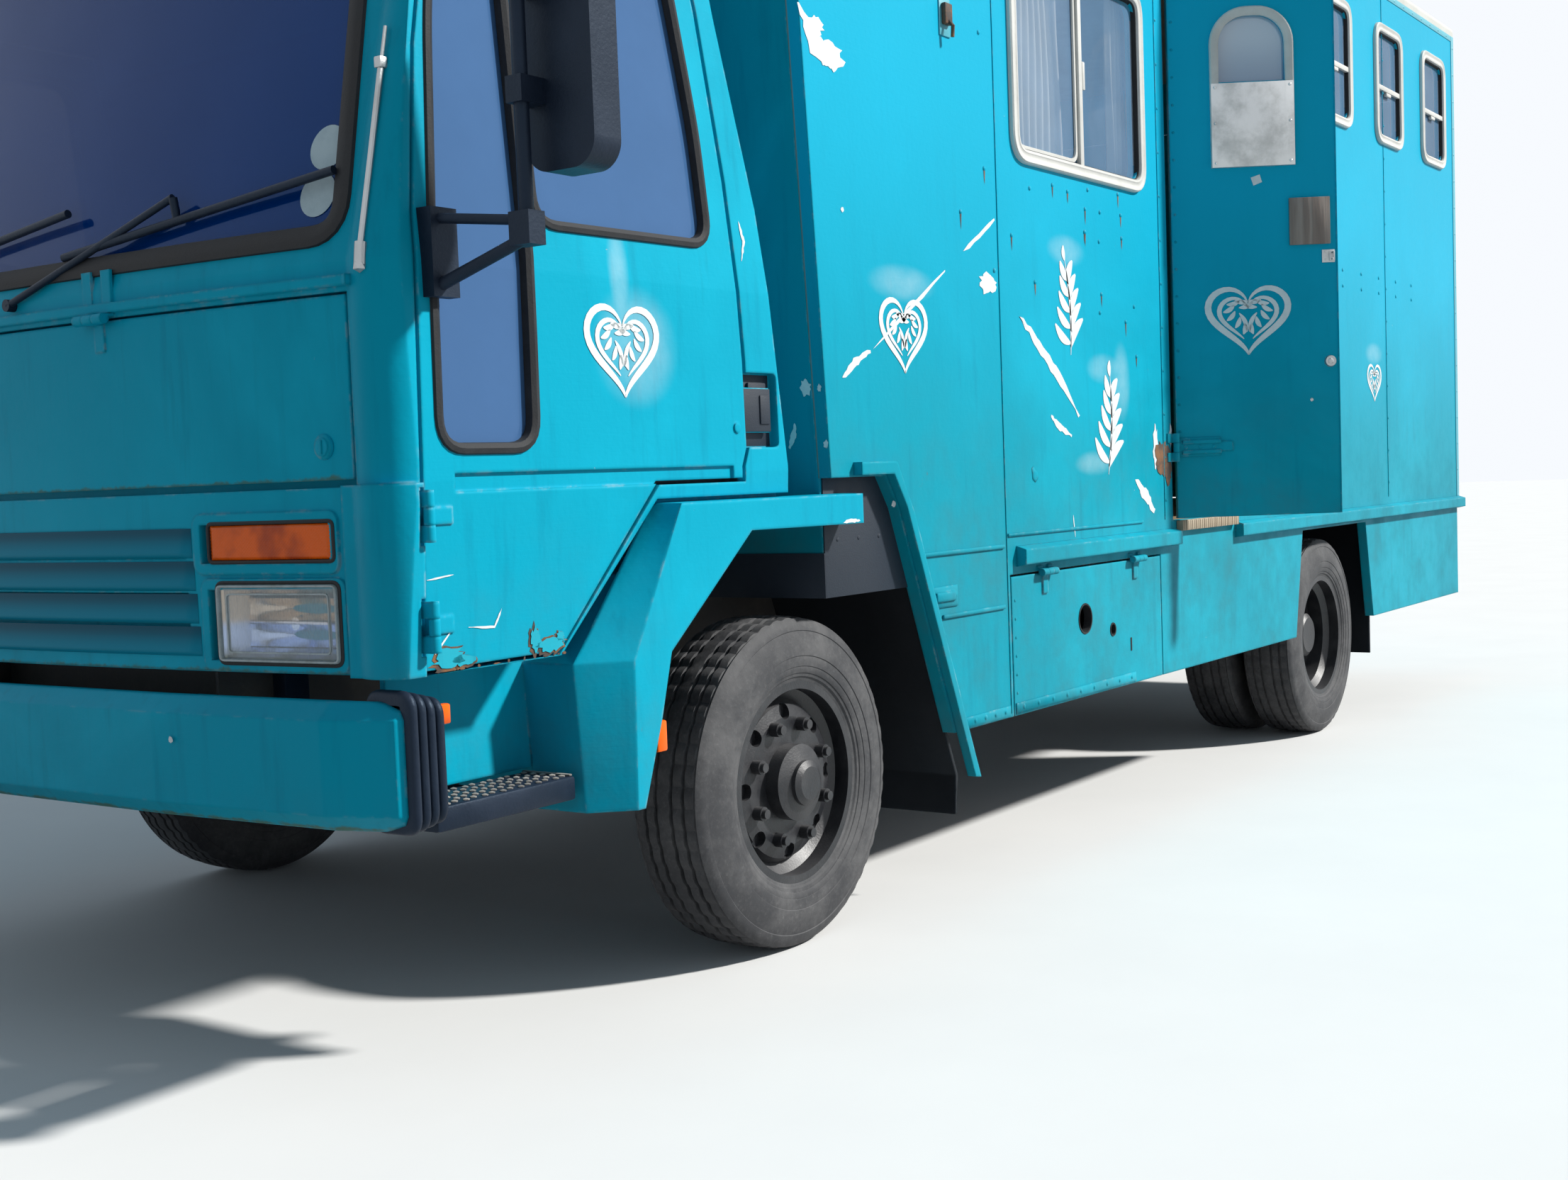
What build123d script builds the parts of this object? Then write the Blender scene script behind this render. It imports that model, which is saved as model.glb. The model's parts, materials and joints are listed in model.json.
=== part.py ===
from build123d import *
import os
from math import cos, pi, radians, sin, sqrt

os.makedirs("parts", exist_ok=True)

# Millimetres. X forward from the front axle, Y to the left, Z up from the ground.

# Wheels and axles
TYRE_R = 383.0
TYRE_W = 210.0
TREAD_W = 160.0
TYRE_SHOULDER = 14.0
RIM_FLANGE_R = 235.0
RIM_SEAT_R = 222.0
RIM_WELL_R = 198.0
RIM_W = 176.0
RIM_T = 7.0
FIT_GAP = 0.3
FRONT_TRACK = 1850.0
WHEELBASE = 3600.0
TWIN_SPACING = 244.0
REAR_TRACK = 1650.0
HUB_R = 88.0
HUB_CAP_R = 52.0
HUB_CAP_FACE = 126.0
STUD_PCD = 275.0
STUD_COUNT = 8
STUD_R = 11.0
NUT_R = 16.0
NUT_H = 22.0
HAND_HOLE_R = 19.0
HAND_HOLE_PCR = 163.0
DISC_FACE = 62.0
DISC_T = 10.0
DRUM_R = 176.0
DRUM_T = 10.0
AXLE_Z = 383.0
SPINDLE_R = 30.0
RUN_CLEAR = 0.05
KINGPIN_Y = 780.0
KINGPIN_R = 20.0
STEER_DEG = 32.0

# Chassis
RAIL_Y = 430.0
RAIL_TOP = 800.0
RAIL_H = 180.0
RAIL_FLANGE = 65.0
RAIL_T = 8.0
RAIL_FRONT = 1130.0
RAIL_REAR = -5340.0
RAIL_CLEAR = 30.0
TUNNEL_SIDE = 55.0
TUNNEL_T = 25.0
CROSS_W = 60.0
CROSS_H = 120.0
SPRING_W = 70.0
SPRING_LEN = 1100.0
SPRING_LEAF = 12.0

# Cab
CAB_REAR = 100.0
CAB_FRONT = 1302.0
CAB_BOW = 62.0
CAB_CORNER_Y = 985.0
CAB_HALF_W = 1090.0
CAB_SILL = 765.0
CAB_FLOOR = 1050.0
CAB_CREASE = 1100.0
CAB_BASE_HALF_W = 1070.0
SCREEN_BASE = 1480.0
CAB_ROOF = 2520.0
CAB_TOP_HALF_W = 1015.0
CAB_WALL = 40.0
SCREEN_RAKE = 0.25
FRONT_LAYER = 26.0
FRONT_SEAT = 0.3
DOOR_GAP = 8.0
DOOR_FRONT_X = 1195.0
DOOR_REAR_X = 258.0
DOOR_OPEN_DEG = 65.0
GLASS_T = 5.0
GLASS_SET = 14.0
GLASS_GAP = 0.3

# Living body
BODY_HALF_W = 1100.0
BODY_REAR = -5420.0
BODY_FRONT_LOW = -66.0
BODY_FRONT_TOP = 60.0
BODY_WALL = 35.0
SKIRT_BOTTOM = 420.0
FLOOR_BOTTOM = 820.0
FLOOR_TOP = 900.0
WALL_TOP = 3010.0
BODY_TOP = 3060.0
LIVING_FRONT_X = -2006.0
LIVING_WIDTH = 516.0
LIVING_TOP = 2760.0
LIVING_OPEN_DEG = 57.0
LOCKER_FRONT_X = -900.0
LOCKER_REAR_X = -1900.0
LOCKER_TOP = 800.0
RUB_TOP = 876.0
RUB_H = 56.0
RUB_OUT = 30.0
RAMP_BOTTOM = 905.0
RAMP_TOP = 2750.0
RAMP_HALF_W = 960.0
RAMP_T = 45.0
HINGE_CLEAR = 6.0


def place_face(points, plane, radius):
    if radius:
        wire = FilletPolyline(*points, radius=radius, close=True)
    else:
        wire = Polyline(*points, close=True)
    return plane * make_face(wire.edges())


def prism_xz(points, y0, y1, radius=0):
    plane = Plane(origin=(0, y1, 0), x_dir=(1, 0, 0), z_dir=(0, -1, 0))
    return extrude(place_face(points, plane, radius), amount=y1 - y0)


def prism_yz(points, x0, x1, radius=0):
    plane = Plane(origin=(x0, 0, 0), x_dir=(0, 1, 0), z_dir=(1, 0, 0))
    return extrude(place_face(points, plane, radius), amount=x1 - x0)


def prism_xy(points, z0, z1, radius=0):
    plane = Plane(origin=(0, 0, z0), x_dir=(1, 0, 0), z_dir=(0, 0, 1))
    return extrude(place_face(points, plane, radius), amount=z1 - z0)


def block(x0, x1, y0, y1, z0, z1):
    centre = ((x0 + x1) / 2, (y0 + y1) / 2, (z0 + z1) / 2)
    return Pos(*centre) * Box(abs(x1 - x0), abs(y1 - y0), abs(z1 - z0))


def rod(start, end, radius):
    a = Vector(*start)
    b = Vector(*end)
    plane = Plane(origin=a, z_dir=b - a)
    return extrude(plane * Circle(radius), amount=(b - a).length)


def tube_y(x, z, y0, y1, radius):
    plane = Plane(origin=(x, y0, z), x_dir=(1, 0, 0), z_dir=(0, 1, 0))
    return extrude(plane * Circle(radius), amount=y1 - y0)


def spin_y(points, y_off, x=0.0, z=0.0, side=1):
    """A ring about the wheel's axle from (radius, outward offset) points."""
    pts = [(r, side * o) for r, o in points]
    wire = Polyline(*pts, close=True)
    face = make_face(wire.edges())
    ring = revolve(face, Axis((0, 0, 0), (0, 1, 0)))
    return Pos(x, y_off, z) * ring


def mirrored(part):
    return mirror(part, about=Plane.XZ)


def both(part):
    return part + mirrored(part)


# Hinges: a pin with two end lugs on the fixed side, a barrel between them on the moving side
PIN_R = 5.0
BARREL_R = 10.0
HINGE_LEN = 90.0
HINGE_PLATE_T = 6.0
HINGE_NECK = 5.0
HINGE_PLAY = 0.5
HINGE_OUT = 16.0


def hinge(place, fixed_reach, moving_reach, drop):
    """Pin along Z, moving side to -X, fixed side to +X, plates let into the skins at -Y."""
    third = HINGE_LEN / 3
    r = BARREL_R
    n = HINGE_NECK
    t = HINGE_PLATE_T
    low = -third / 2 + HINGE_PLAY
    fixed = Cylinder(PIN_R, HINGE_LEN)
    for s in (1, -1):
        lug = Cylinder(r, third - 2 * HINGE_PLAY) + block(n, r, -drop, 0, low, -low)
        lug += block(n, fixed_reach, -drop, -drop + t, low, -low)
        fixed += Pos(0, 0, s * third) * lug
    barrel = Cylinder(r, third) + block(-r, -n, -drop, 0, -third / 2, third / 2)
    barrel += block(-moving_reach, -n, -drop, -drop + t, -third / 2, third / 2)
    barrel -= Cylinder(PIN_R + RUN_CLEAR, HINGE_LEN)
    return place * fixed, place * barrel


def hinge_place(point, up, pin):
    """up points to the fixed side, pin runs along the joint's axis."""
    return Location(Plane(origin=point, x_dir=up, z_dir=pin))


# Wheels: each profile is (radius, outward offset from the tyre's centre plane)
def tyre(y, x, side):
    half = TYRE_W / 2
    tread = TREAD_W / 2
    bead = RIM_W / 2 - RIM_T - FIT_GAP
    seat = RIM_SEAT_R + FIT_GAP
    profile = [
        (seat, -bead),
        (RIM_FLANGE_R + 3, -bead),
        (RIM_FLANGE_R + 18, -bead - 6),
        (TYRE_R * 0.72, -half + 4),
        (TYRE_R * 0.80, -half),
        (TYRE_R * 0.89, -half + 5),
        (TYRE_R - TYRE_SHOULDER, -tread - 10),
        (TYRE_R, -tread + 8),
        (TYRE_R, tread - 8),
        (TYRE_R - TYRE_SHOULDER, tread + 10),
        (TYRE_R * 0.89, half - 5),
        (TYRE_R * 0.80, half),
        (TYRE_R * 0.72, half - 4),
        (RIM_FLANGE_R + 18, bead + 6),
        (RIM_FLANGE_R + 3, bead),
        (seat, bead),
    ]
    return spin_y(profile, y, x, TYRE_R, side)


def rim_ring():
    half = RIM_W / 2
    t = RIM_T
    return [
        (RIM_FLANGE_R, -half),
        (RIM_FLANGE_R, -half + t),
        (RIM_SEAT_R, -half + t),
        (RIM_SEAT_R, -half + 34),
        (RIM_WELL_R, -half + 52),
        (RIM_WELL_R, half - 52),
        (RIM_SEAT_R, half - 34),
        (RIM_SEAT_R, half - t),
        (RIM_FLANGE_R, half - t),
        (RIM_FLANGE_R, half),
        (RIM_SEAT_R - t, half),
        (RIM_SEAT_R - t, half - 38),
        (RIM_WELL_R - t, half - 56),
        (RIM_WELL_R - t, -half + 56),
        (RIM_SEAT_R - t, -half + 38),
        (RIM_SEAT_R - t, -half),
    ]


def stud_ring(x, y, side, face):
    nuts = []
    for i in range(STUD_COUNT):
        a = 2 * pi * (i + 0.5) / STUD_COUNT
        cx = x + STUD_PCD / 2 * cos(a)
        cz = AXLE_Z + STUD_PCD / 2 * sin(a)
        low, high = sorted((y + side * face, y + side * (face + NUT_H)))
        nut = tube_y(cx, cz, low, high, NUT_R)
        low, high = sorted((y + side * face, y + side * (face + NUT_H + 9)))
        nuts.append(nut + tube_y(cx, cz, low, high, STUD_R))
    return nuts


def hand_holes(x, y, side, near, far):
    holes = []
    for i in range(STUD_COUNT):
        a = 2 * pi * i / STUD_COUNT
        cx = x + HAND_HOLE_PCR * cos(a)
        cz = AXLE_Z + HAND_HOLE_PCR * sin(a)
        low, high = sorted((y + side * near, y + side * far))
        holes.append(tube_y(cx, cz, low, high, HAND_HOLE_R))
    return holes


def front_wheel(side):
    y = side * FRONT_TRACK / 2
    well = RIM_WELL_R - RIM_T
    face = DISC_FACE
    disc = [
        (well + 1, 20),
        (well + 1, 20 + DISC_T),
        (178, face - 18 + DISC_T),
        (150, face),
        (HUB_R, face),
        (HUB_R, 96),
        (HUB_CAP_R + 12, 104),
        (HUB_CAP_R, 108),
        (HUB_CAP_R, HUB_CAP_FACE - 8),
        (HUB_CAP_R - 14, HUB_CAP_FACE),
        (0, HUB_CAP_FACE),
        (0, 88),
        (SPINDLE_R + RUN_CLEAR, 88),
        (SPINDLE_R + RUN_CLEAR, -62),
        (HUB_R - 14, -62),
        (HUB_R - 14, face - 34),
        (DRUM_R - DRUM_T, face - 34),
        (DRUM_R - DRUM_T, -64),
        (DRUM_R, -64),
        (DRUM_R, face - 18),
        (178, face - 18),
        (well - 4, 20),
    ]
    wheel = spin_y(rim_ring(), y, 0, AXLE_Z, side) + spin_y(disc, y, 0, AXLE_Z, side)
    for hole in hand_holes(0, y, side, face - 19, face + 30):
        wheel -= hole
    for nut in stud_ring(0, y, side, face):
        wheel += nut
    return wheel


def rear_wheels(side):
    outer = side * (REAR_TRACK + TWIN_SPACING) / 2
    inner = side * (REAR_TRACK - TWIN_SPACING) / 2
    middle = side * REAR_TRACK / 2
    well = RIM_WELL_R - RIM_T
    half = TWIN_SPACING / 2
    x = -WHEELBASE
    hub = [
        (66, -66),
        (HUB_R + 16, -66),
        (HUB_R + 16, -DISC_T),
        (170, -DISC_T),
        (well + 1, -half + 18),
        (well + 1, -half + 18 + DISC_T),
        (184, 0),
        (well + 1, half - 18 - DISC_T),
        (well + 1, half - 18),
        (170, DISC_T),
        (HUB_R, DISC_T),
        (HUB_R - 4, 150),
        (HUB_R - 20, 162),
        (0, 162),
        (0, 120),
        (66, 120),
    ]
    wheels = spin_y(rim_ring(), outer, x, AXLE_Z, side)
    wheels += spin_y(rim_ring(), inner, x, AXLE_Z, side)
    wheels += spin_y(hub, middle, x, AXLE_Z, side)
    for nut in stud_ring(x, middle, side, DISC_T):
        wheels += nut
    return wheels


# Chassis
def channel_rail():
    top = RAIL_TOP
    low = RAIL_TOP - RAIL_H
    y = RAIL_Y
    inner = RAIL_Y - RAIL_FLANGE
    t = RAIL_T
    profile = [
        (y, low), (y, top), (inner, top), (inner, top - t),
        (y - t, top - t), (y - t, low + t), (inner, low + t), (inner, low),
    ]
    return prism_yz(profile, RAIL_REAR, RAIL_FRONT)


# cross member places: x of the rear face, depth below the rail top
CROSS_MEMBERS = [(1040, 20), (-540, 12), (-1500, 20), (-2500, 20), (-4250, 20), (-5330, 20)]


def chassis_frame():
    frame = both(channel_rail())
    web = RAIL_Y - RAIL_T
    for x, drop in CROSS_MEMBERS:
        top = RAIL_TOP - drop
        low = top - CROSS_H
        t = RAIL_T
        profile = [
            (x, low), (x + CROSS_W, low), (x + CROSS_W, low + t), (x + t, low + t),
            (x + t, top - t), (x + CROSS_W, top - t), (x + CROSS_W, top), (x, top),
        ]
        frame += prism_xz(profile, -web, web)
    # spring hangers under the rails
    for x0 in (SPRING_LEN / 2, -SPRING_LEN / 2, -WHEELBASE + SPRING_LEN / 2, -WHEELBASE - SPRING_LEN / 2):
        for s in (1, -1):
            y0 = s * (RAIL_Y - RAIL_FLANGE)
            y1 = s * RAIL_Y
            low = RAIL_TOP - RAIL_H
            frame += block(x0 - 35, x0 + 35, y0, y1, spring_eye_z() + SPRING_LEAF / 2, low)
    # cab mounts: low blocks in front, tall posts behind
    for s in (1, -1):
        y0, y1 = sorted((s * (RAIL_Y - 60), s * RAIL_Y))
        frame += block(1060, 1120, y0, y1, RAIL_TOP, RAIL_TOP + RAIL_CLEAR)
        frame += block(CAB_REAR + 8, CAB_REAR + 68, y0, y1, RAIL_TOP, CAB_FLOOR)
    return frame


def spring_eye_z():
    return AXLE_Z + 150.0


def leaf_pack(x, y):
    """Leaves of falling length, stacked down from the eyes to the axle seat."""
    pack = None
    z = spring_eye_z() - SPRING_LEAF / 2
    for i in range(5):
        length = SPRING_LEN + 70 - i * 190
        leaf = block(x - length / 2, x + length / 2, y - SPRING_W / 2, y + SPRING_W / 2,
                     z - i * SPRING_LEAF, z - (i - 1) * SPRING_LEAF)
        pack = leaf if pack is None else pack + leaf
    return pack


def spring_seat_z():
    return spring_eye_z() - SPRING_LEAF / 2 - 4 * SPRING_LEAF


SPRING_Y = RAIL_Y - SPRING_W / 2


def leaf_springs():
    packs = []
    for x in (0, -WHEELBASE):
        for s in (1, -1):
            packs.append(leaf_pack(x, s * SPRING_Y))
    return Compound(children=packs)


def front_axle_beam():
    seat = spring_seat_z()
    eye_low = AXLE_Z - 48
    eye_high = AXLE_Z + 48
    half = [
        (0, 300), (560, 300), (690, eye_low), (KINGPIN_Y, eye_low),
        (KINGPIN_Y, eye_high), (700, eye_high), (600, 385), (0, 385),
    ]
    right = [(-y, z) for y, z in reversed(half[1:-1])]
    beam = prism_yz(half[:-1] + [half[-1]] + right, -38, 38)
    for s in (1, -1):
        beam += Pos(0, s * KINGPIN_Y, AXLE_Z) * Cylinder(38, 96)
        beam += block(-60, 60, s * SPRING_Y - 45, s * SPRING_Y + 45, 380, seat)
        beam -= Pos(0, s * KINGPIN_Y, AXLE_Z) * Cylinder(KINGPIN_R + RUN_CLEAR, 200)
    return beam


def knuckle(side):
    y = side * KINGPIN_Y
    gap = 3.0
    top = AXLE_Z + 48 + gap
    low = AXLE_Z - 48 - gap
    out = side * (FRONT_TRACK / 2 - 80)
    arm0, arm1 = sorted((y - side * 34, out))
    body = block(-34, 34, arm0, arm1, top, top + 24)
    body += block(-34, 34, arm0, arm1, low - 24, low)
    web0, web1 = sorted((y + side * 43, out))
    body += block(-34, 34, web0, web1, low - 24, top + 24)
    body += Pos(0, y, AXLE_Z) * Cylinder(KINGPIN_R, top - low + 30)
    plate0, plate1 = sorted((out, out + side * 8))
    body += tube_y(0, AXLE_Z, plate0, plate1, DRUM_R - DRUM_T - 6)
    pin0, pin1 = sorted((out, side * (FRONT_TRACK / 2 + 78)))
    body += tube_y(0, AXLE_Z, pin0, pin1, SPINDLE_R)
    arm0, arm1 = sorted((y - side * 30, y + side * 20))
    body += block(-190, -30, arm0, arm1, low - 24, low - 4)
    return body


def rear_axle():
    x = -WHEELBASE
    seat = spring_seat_z()
    end = (REAR_TRACK / 2 - 66) - 6
    housing = tube_y(x, AXLE_Z, -end, end, 58)
    diff = Pos(x, 0, AXLE_Z) * Sphere(165)
    diff += rod((x, 0, AXLE_Z), (x + 260, 0, AXLE_Z + 10), 60)
    axle = housing + diff
    for s in (1, -1):
        axle += block(x - 70, x + 70, s * SPRING_Y - 45, s * SPRING_Y + 45, AXLE_Z, seat)
        near, far = sorted((s * (end - 1), s * (REAR_TRACK / 2 + 114)))
        axle += tube_y(x, AXLE_Z, near, far, 66 - RUN_CLEAR)
        near, far = sorted((s * (end - 60), s * (end - 48)))
        axle += tube_y(x, AXLE_Z, near, far, 170)
    return axle


ENGINE_TOP = 1225.0
ENGINE_HALF_W = 265.0


def engine_and_gearbox():
    engine = block(170, 1000, -ENGINE_HALF_W, ENGINE_HALF_W, 560, ENGINE_TOP)
    for x in (380, 800):
        engine += block(x, x + 80, -RAIL_Y + RAIL_T, RAIL_Y - RAIL_T, 650, 700)
    box = prism_xz([(170, 600), (170, 860), (-120, 800), (-420, 760), (-420, 590), (-120, 560)], -150, 150)
    shaft = rod((-420, 0, 610), (-WHEELBASE + 262, 0, AXLE_Z + 12), 38)
    return engine + box + shaft


EXHAUST_Y = -610.0
EXHAUST_R = 32.0


def exhaust():
    silencer = Pos(-1150, EXHAUST_Y, 600) * Rot(0, 90, 0) * Cylinder(120, 700)
    route = [(-801, EXHAUST_Y, 600), (-420, -560, 572), (-100, -225, 572), (170 - FIT_GAP, -225, 572)]
    for start, end in zip(route, route[1:]):
        silencer += rod(start, end, EXHAUST_R)
    for joint in route[1:-1]:
        silencer += Pos(*joint) * Sphere(EXHAUST_R)
    for x in (-1400, -930):
        silencer += block(x, x + 30, EXHAUST_Y + 110, -RAIL_Y, 600, 660)
    silencer += rod((-1499, EXHAUST_Y, 600), (-1720, EXHAUST_Y, 560), EXHAUST_R + 2)
    return silencer


def fuel_tank():
    tank = prism_yz([(-990, 480), (-990, 760), (-560, 760), (-560, 480)], -2420, -1900, 60)
    for x in (-2340, -2010):
        tank += block(x, x + 40, -580, -RAIL_Y, 640, 700)
    return tank


# Cab
def cab_plan(inset):
    front = CAB_FRONT - inset
    corner_y = CAB_CORNER_Y
    half = CAB_HALF_W - inset
    corner_x = CAB_FRONT - CAB_BOW - inset
    rear = CAB_REAR + inset
    side_x = 1196.0 - inset
    bow = ThreePointArc((corner_x, corner_y), (front, 0), (corner_x, -corner_y))
    right = ThreePointArc((corner_x, -corner_y), (corner_x - 8, -half + 26), (side_x, -half))
    bottom = Polyline((side_x, -half), (rear, -half), (rear, half), (side_x, half))
    left = ThreePointArc((side_x, half), (corner_x - 8, half - 26), (corner_x, corner_y))
    return make_face([*bow.edges(), *right.edges(), *bottom.edges(), *left.edges()])


def cab_section(inset):
    top = CAB_ROOF - inset
    base = CAB_BASE_HALF_W - inset
    wide = CAB_HALF_W - inset
    upper = CAB_TOP_HALF_W - inset
    shoulder = 110.0
    half = [
        (base, CAB_SILL - 40), (wide, CAB_CREASE), (wide - 6, SCREEN_BASE),
        (upper, top - shoulder),
        (upper - shoulder * 0.7, top - shoulder * 0.22),
        (upper - 3 * shoulder, top),
    ]
    return half + [(-y, z) for y, z in reversed(half)]


def cab_side_y(z):
    """Half width of the cab's skin at a height."""
    rows = [(CAB_SILL - 40, CAB_BASE_HALF_W), (CAB_CREASE, CAB_HALF_W), (SCREEN_BASE, CAB_HALF_W - 6),
            (CAB_ROOF - 110, CAB_TOP_HALF_W)]
    for (z0, y0), (z1, y1) in zip(rows, rows[1:]):
        if z <= z1:
            return y0 + (y1 - y0) * (z - z0) / (z1 - z0)
    return CAB_TOP_HALF_W


def cab_front_x(y):
    """Reach of the bowed front at a distance from the middle."""
    return CAB_FRONT - CAB_BOW * (y / CAB_CORNER_Y) ** 2


def cab_profile(inset):
    low = CAB_SILL + inset
    floor = CAB_FLOOR + inset
    top = CAB_ROOF - inset
    rear = CAB_REAR + inset
    front = CAB_FRONT + 10
    return [
        (front, low), (front, top - 170), (front - 300, top - 150),
        (front - 420, top - 10), (front - 470, top),
        (rear + 280, top), (rear + 215, top - 60), (rear + 147, 2061), (rear + 63, 1663), (rear, 1110),
        (rear, floor),
        (556 + inset * 0.4, floor), (841 + inset * 0.4, low),
    ]


def cab_solid(inset, front_inset=None):
    """The cab's outer form moved in by inset: plan, section and side outline meet in it."""
    f = inset if front_inset is None else front_inset
    plan = cab_plan(inset)
    lower = Pos(inset - f, 0, CAB_SILL - 20) * extrude(plan, amount=SCREEN_BASE - CAB_SILL + 20)
    rise = CAB_ROOF - SCREEN_BASE + 40
    base = Pos(inset - f, 0, SCREEN_BASE) * plan
    lean = Vector(-SCREEN_RAKE, 0, 1)
    upper = extrude(base, amount=rise * lean.length, dir=lean.normalized())
    solid = lower + upper
    solid = solid & prism_yz(cab_section(inset), CAB_REAR - 10, CAB_FRONT + 20)
    return solid & prism_xz(cab_profile(inset), -CAB_HALF_W - 10, CAB_HALF_W + 10)


# door outline in X and Z, front lower corner first
DOOR_TOP_Z = 2290.0
DOOR_LOW_Z = 1078.0
DOOR_SWEEP = 1.4
DOOR_SEAT = 5.0
DOOR_HINGES = (850.0, 1040.0)
DOOR_HINGE_X = DOOR_FRONT_X - DOOR_GAP / 2
DOOR_HINGE_Y = CAB_HALF_W + 14


def door_outline(gap):
    rear = DOOR_REAR_X + gap * DOOR_SWEEP
    return [
        (DOOR_FRONT_X - gap, CAB_SILL + gap), (DOOR_FRONT_X - gap, CAB_CREASE),
        (DOOR_FRONT_X - 19 - gap, 1560), (DOOR_FRONT_X - 60 - gap, 1850),
        (DOOR_FRONT_X - 170 - gap, DOOR_TOP_Z - gap), (rear + 90, DOOR_TOP_Z - gap), (rear + 46, 2060),
        (rear + 4, 1710), (rear - 18, 1330), (rear - 18, 1150), (rear, 1110), (rear, DOOR_LOW_Z + gap),
        (549 + gap * 0.6, DOOR_LOW_Z + gap), (846, 767 + gap),
    ]


def door_reveal():
    """The way in above the sill and in front of the seat, clear through the wall."""
    return [
        (1100, CAB_FLOOR + CAB_WALL + 5), (1100, SCREEN_BASE + 40), (1000, DOOR_TOP_Z - 60),
        (DOOR_REAR_X + 100, DOOR_TOP_Z - 60), (DOOR_REAR_X + 40, CAB_FLOOR + CAB_WALL + 5),
    ]


def door_hinge(side, z):
    fixed, moving = hinge(Pos(DOOR_HINGE_X, DOOR_HINGE_Y, z), 24, 70, DOOR_HINGE_Y - cab_side_y(z) + 3)
    if side < 0:
        return mirrored(fixed), mirrored(moving)
    return fixed, moving


def main_window(gap):
    return [
        (862 - gap, 1571 + gap), (344 + gap, 1575 + gap), (353 + gap, 1800), (388 + gap, 2040),
        (414 + gap, 2205 - gap), (862 - gap, 2205 - gap),
    ]


def kerb_window(gap):
    return [
        (1140 - gap, 1158 + gap), (905 + gap, 1158 + gap), (894 + gap, 1560), (894 + gap, 2205 - gap),
        (1030 - gap, 2205 - gap), (1086 - gap, 1900), (1130 - gap, 1500),
    ]


WINDOW_R = 45.0
SCREEN_HALF_LOW = 955.0
SCREEN_HALF_TOP = 900.0
SCREEN_LOW_Z = 1535.0
SCREEN_TOP_Z = 2230.0


def screen_outline(gap):
    return [
        (SCREEN_HALF_LOW - gap, SCREEN_LOW_Z + gap), (SCREEN_HALF_TOP - gap, SCREEN_TOP_Z - gap),
        (-SCREEN_HALF_TOP + gap, SCREEN_TOP_Z - gap), (-SCREEN_HALF_LOW + gap, SCREEN_LOW_Z + gap),
    ]


FLAP_HALF_W = 978.0
GRILLE_HALF_W = 950.0
FLAP_LOW = 1108.0
FLAP_TOP = 1424.0
GRILLE_LOW = 770.0
SIDE_CUT = 1200.0


def front_region(half, z0, z1):
    return block(CAB_FRONT - 160, CAB_FRONT + 40, -half, half, z0, z1)


# lamp places: half-width from y0 to y1, z0 to z1
LAMPS = {"headlamp": (618, 930, 790, 918), "indicator": (604, 918, 966, 1036)}
LAMP_CLEAR = 0.3
LAMP_OUT = 8.0
SURROUND_W = 20.0
SURROUND_OUT = 5.0
GRILLE_GROOVE = 12.0

CAB_OUTER = cab_solid(0)
CAB_INNER = cab_solid(CAB_WALL, 105.0)
FRONT_SKIN = CAB_OUTER - cab_solid(0, FRONT_LAYER)


def tunnel(grow):
    """Room under the cab floor for the engine and, lower and wider, for the frame rails."""
    w = ENGINE_HALF_W + TUNNEL_SIDE + grow
    room = block(CAB_REAR - 5, 1050 + grow, -w, w, CAB_SILL - 60, ENGINE_TOP + 40 + grow)
    w = RAIL_Y + RAIL_CLEAR + grow
    top = RAIL_TOP + RAIL_CLEAR + grow
    return room + block(CAB_REAR - 5, RAIL_FRONT + 12 + grow, -w, w, CAB_SILL - 60, top)


FLAP_GAP = 5.0
CORNER_PROUD = 12.0
HANDLE_X0 = 130.0
HANDLE_LOW = 1150.0
HANDLE_TOP = 1310.0
HANDLE_DEPTH = 22.0
FLAP_SWEEP_GAP = 13.0
FLAP_HINGE = (CAB_FRONT + 12, FLAP_TOP + FLAP_GAP / 2)
FLAP_HINGES = (-355.0, 355.0)


def flap_hinge(y):
    x, z = FLAP_HINGE
    return hinge(hinge_place((x, y, z), (0, 0, 1), (0, 1, 0)), 92, 60, x - cab_front_x(y) + 3)


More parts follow.
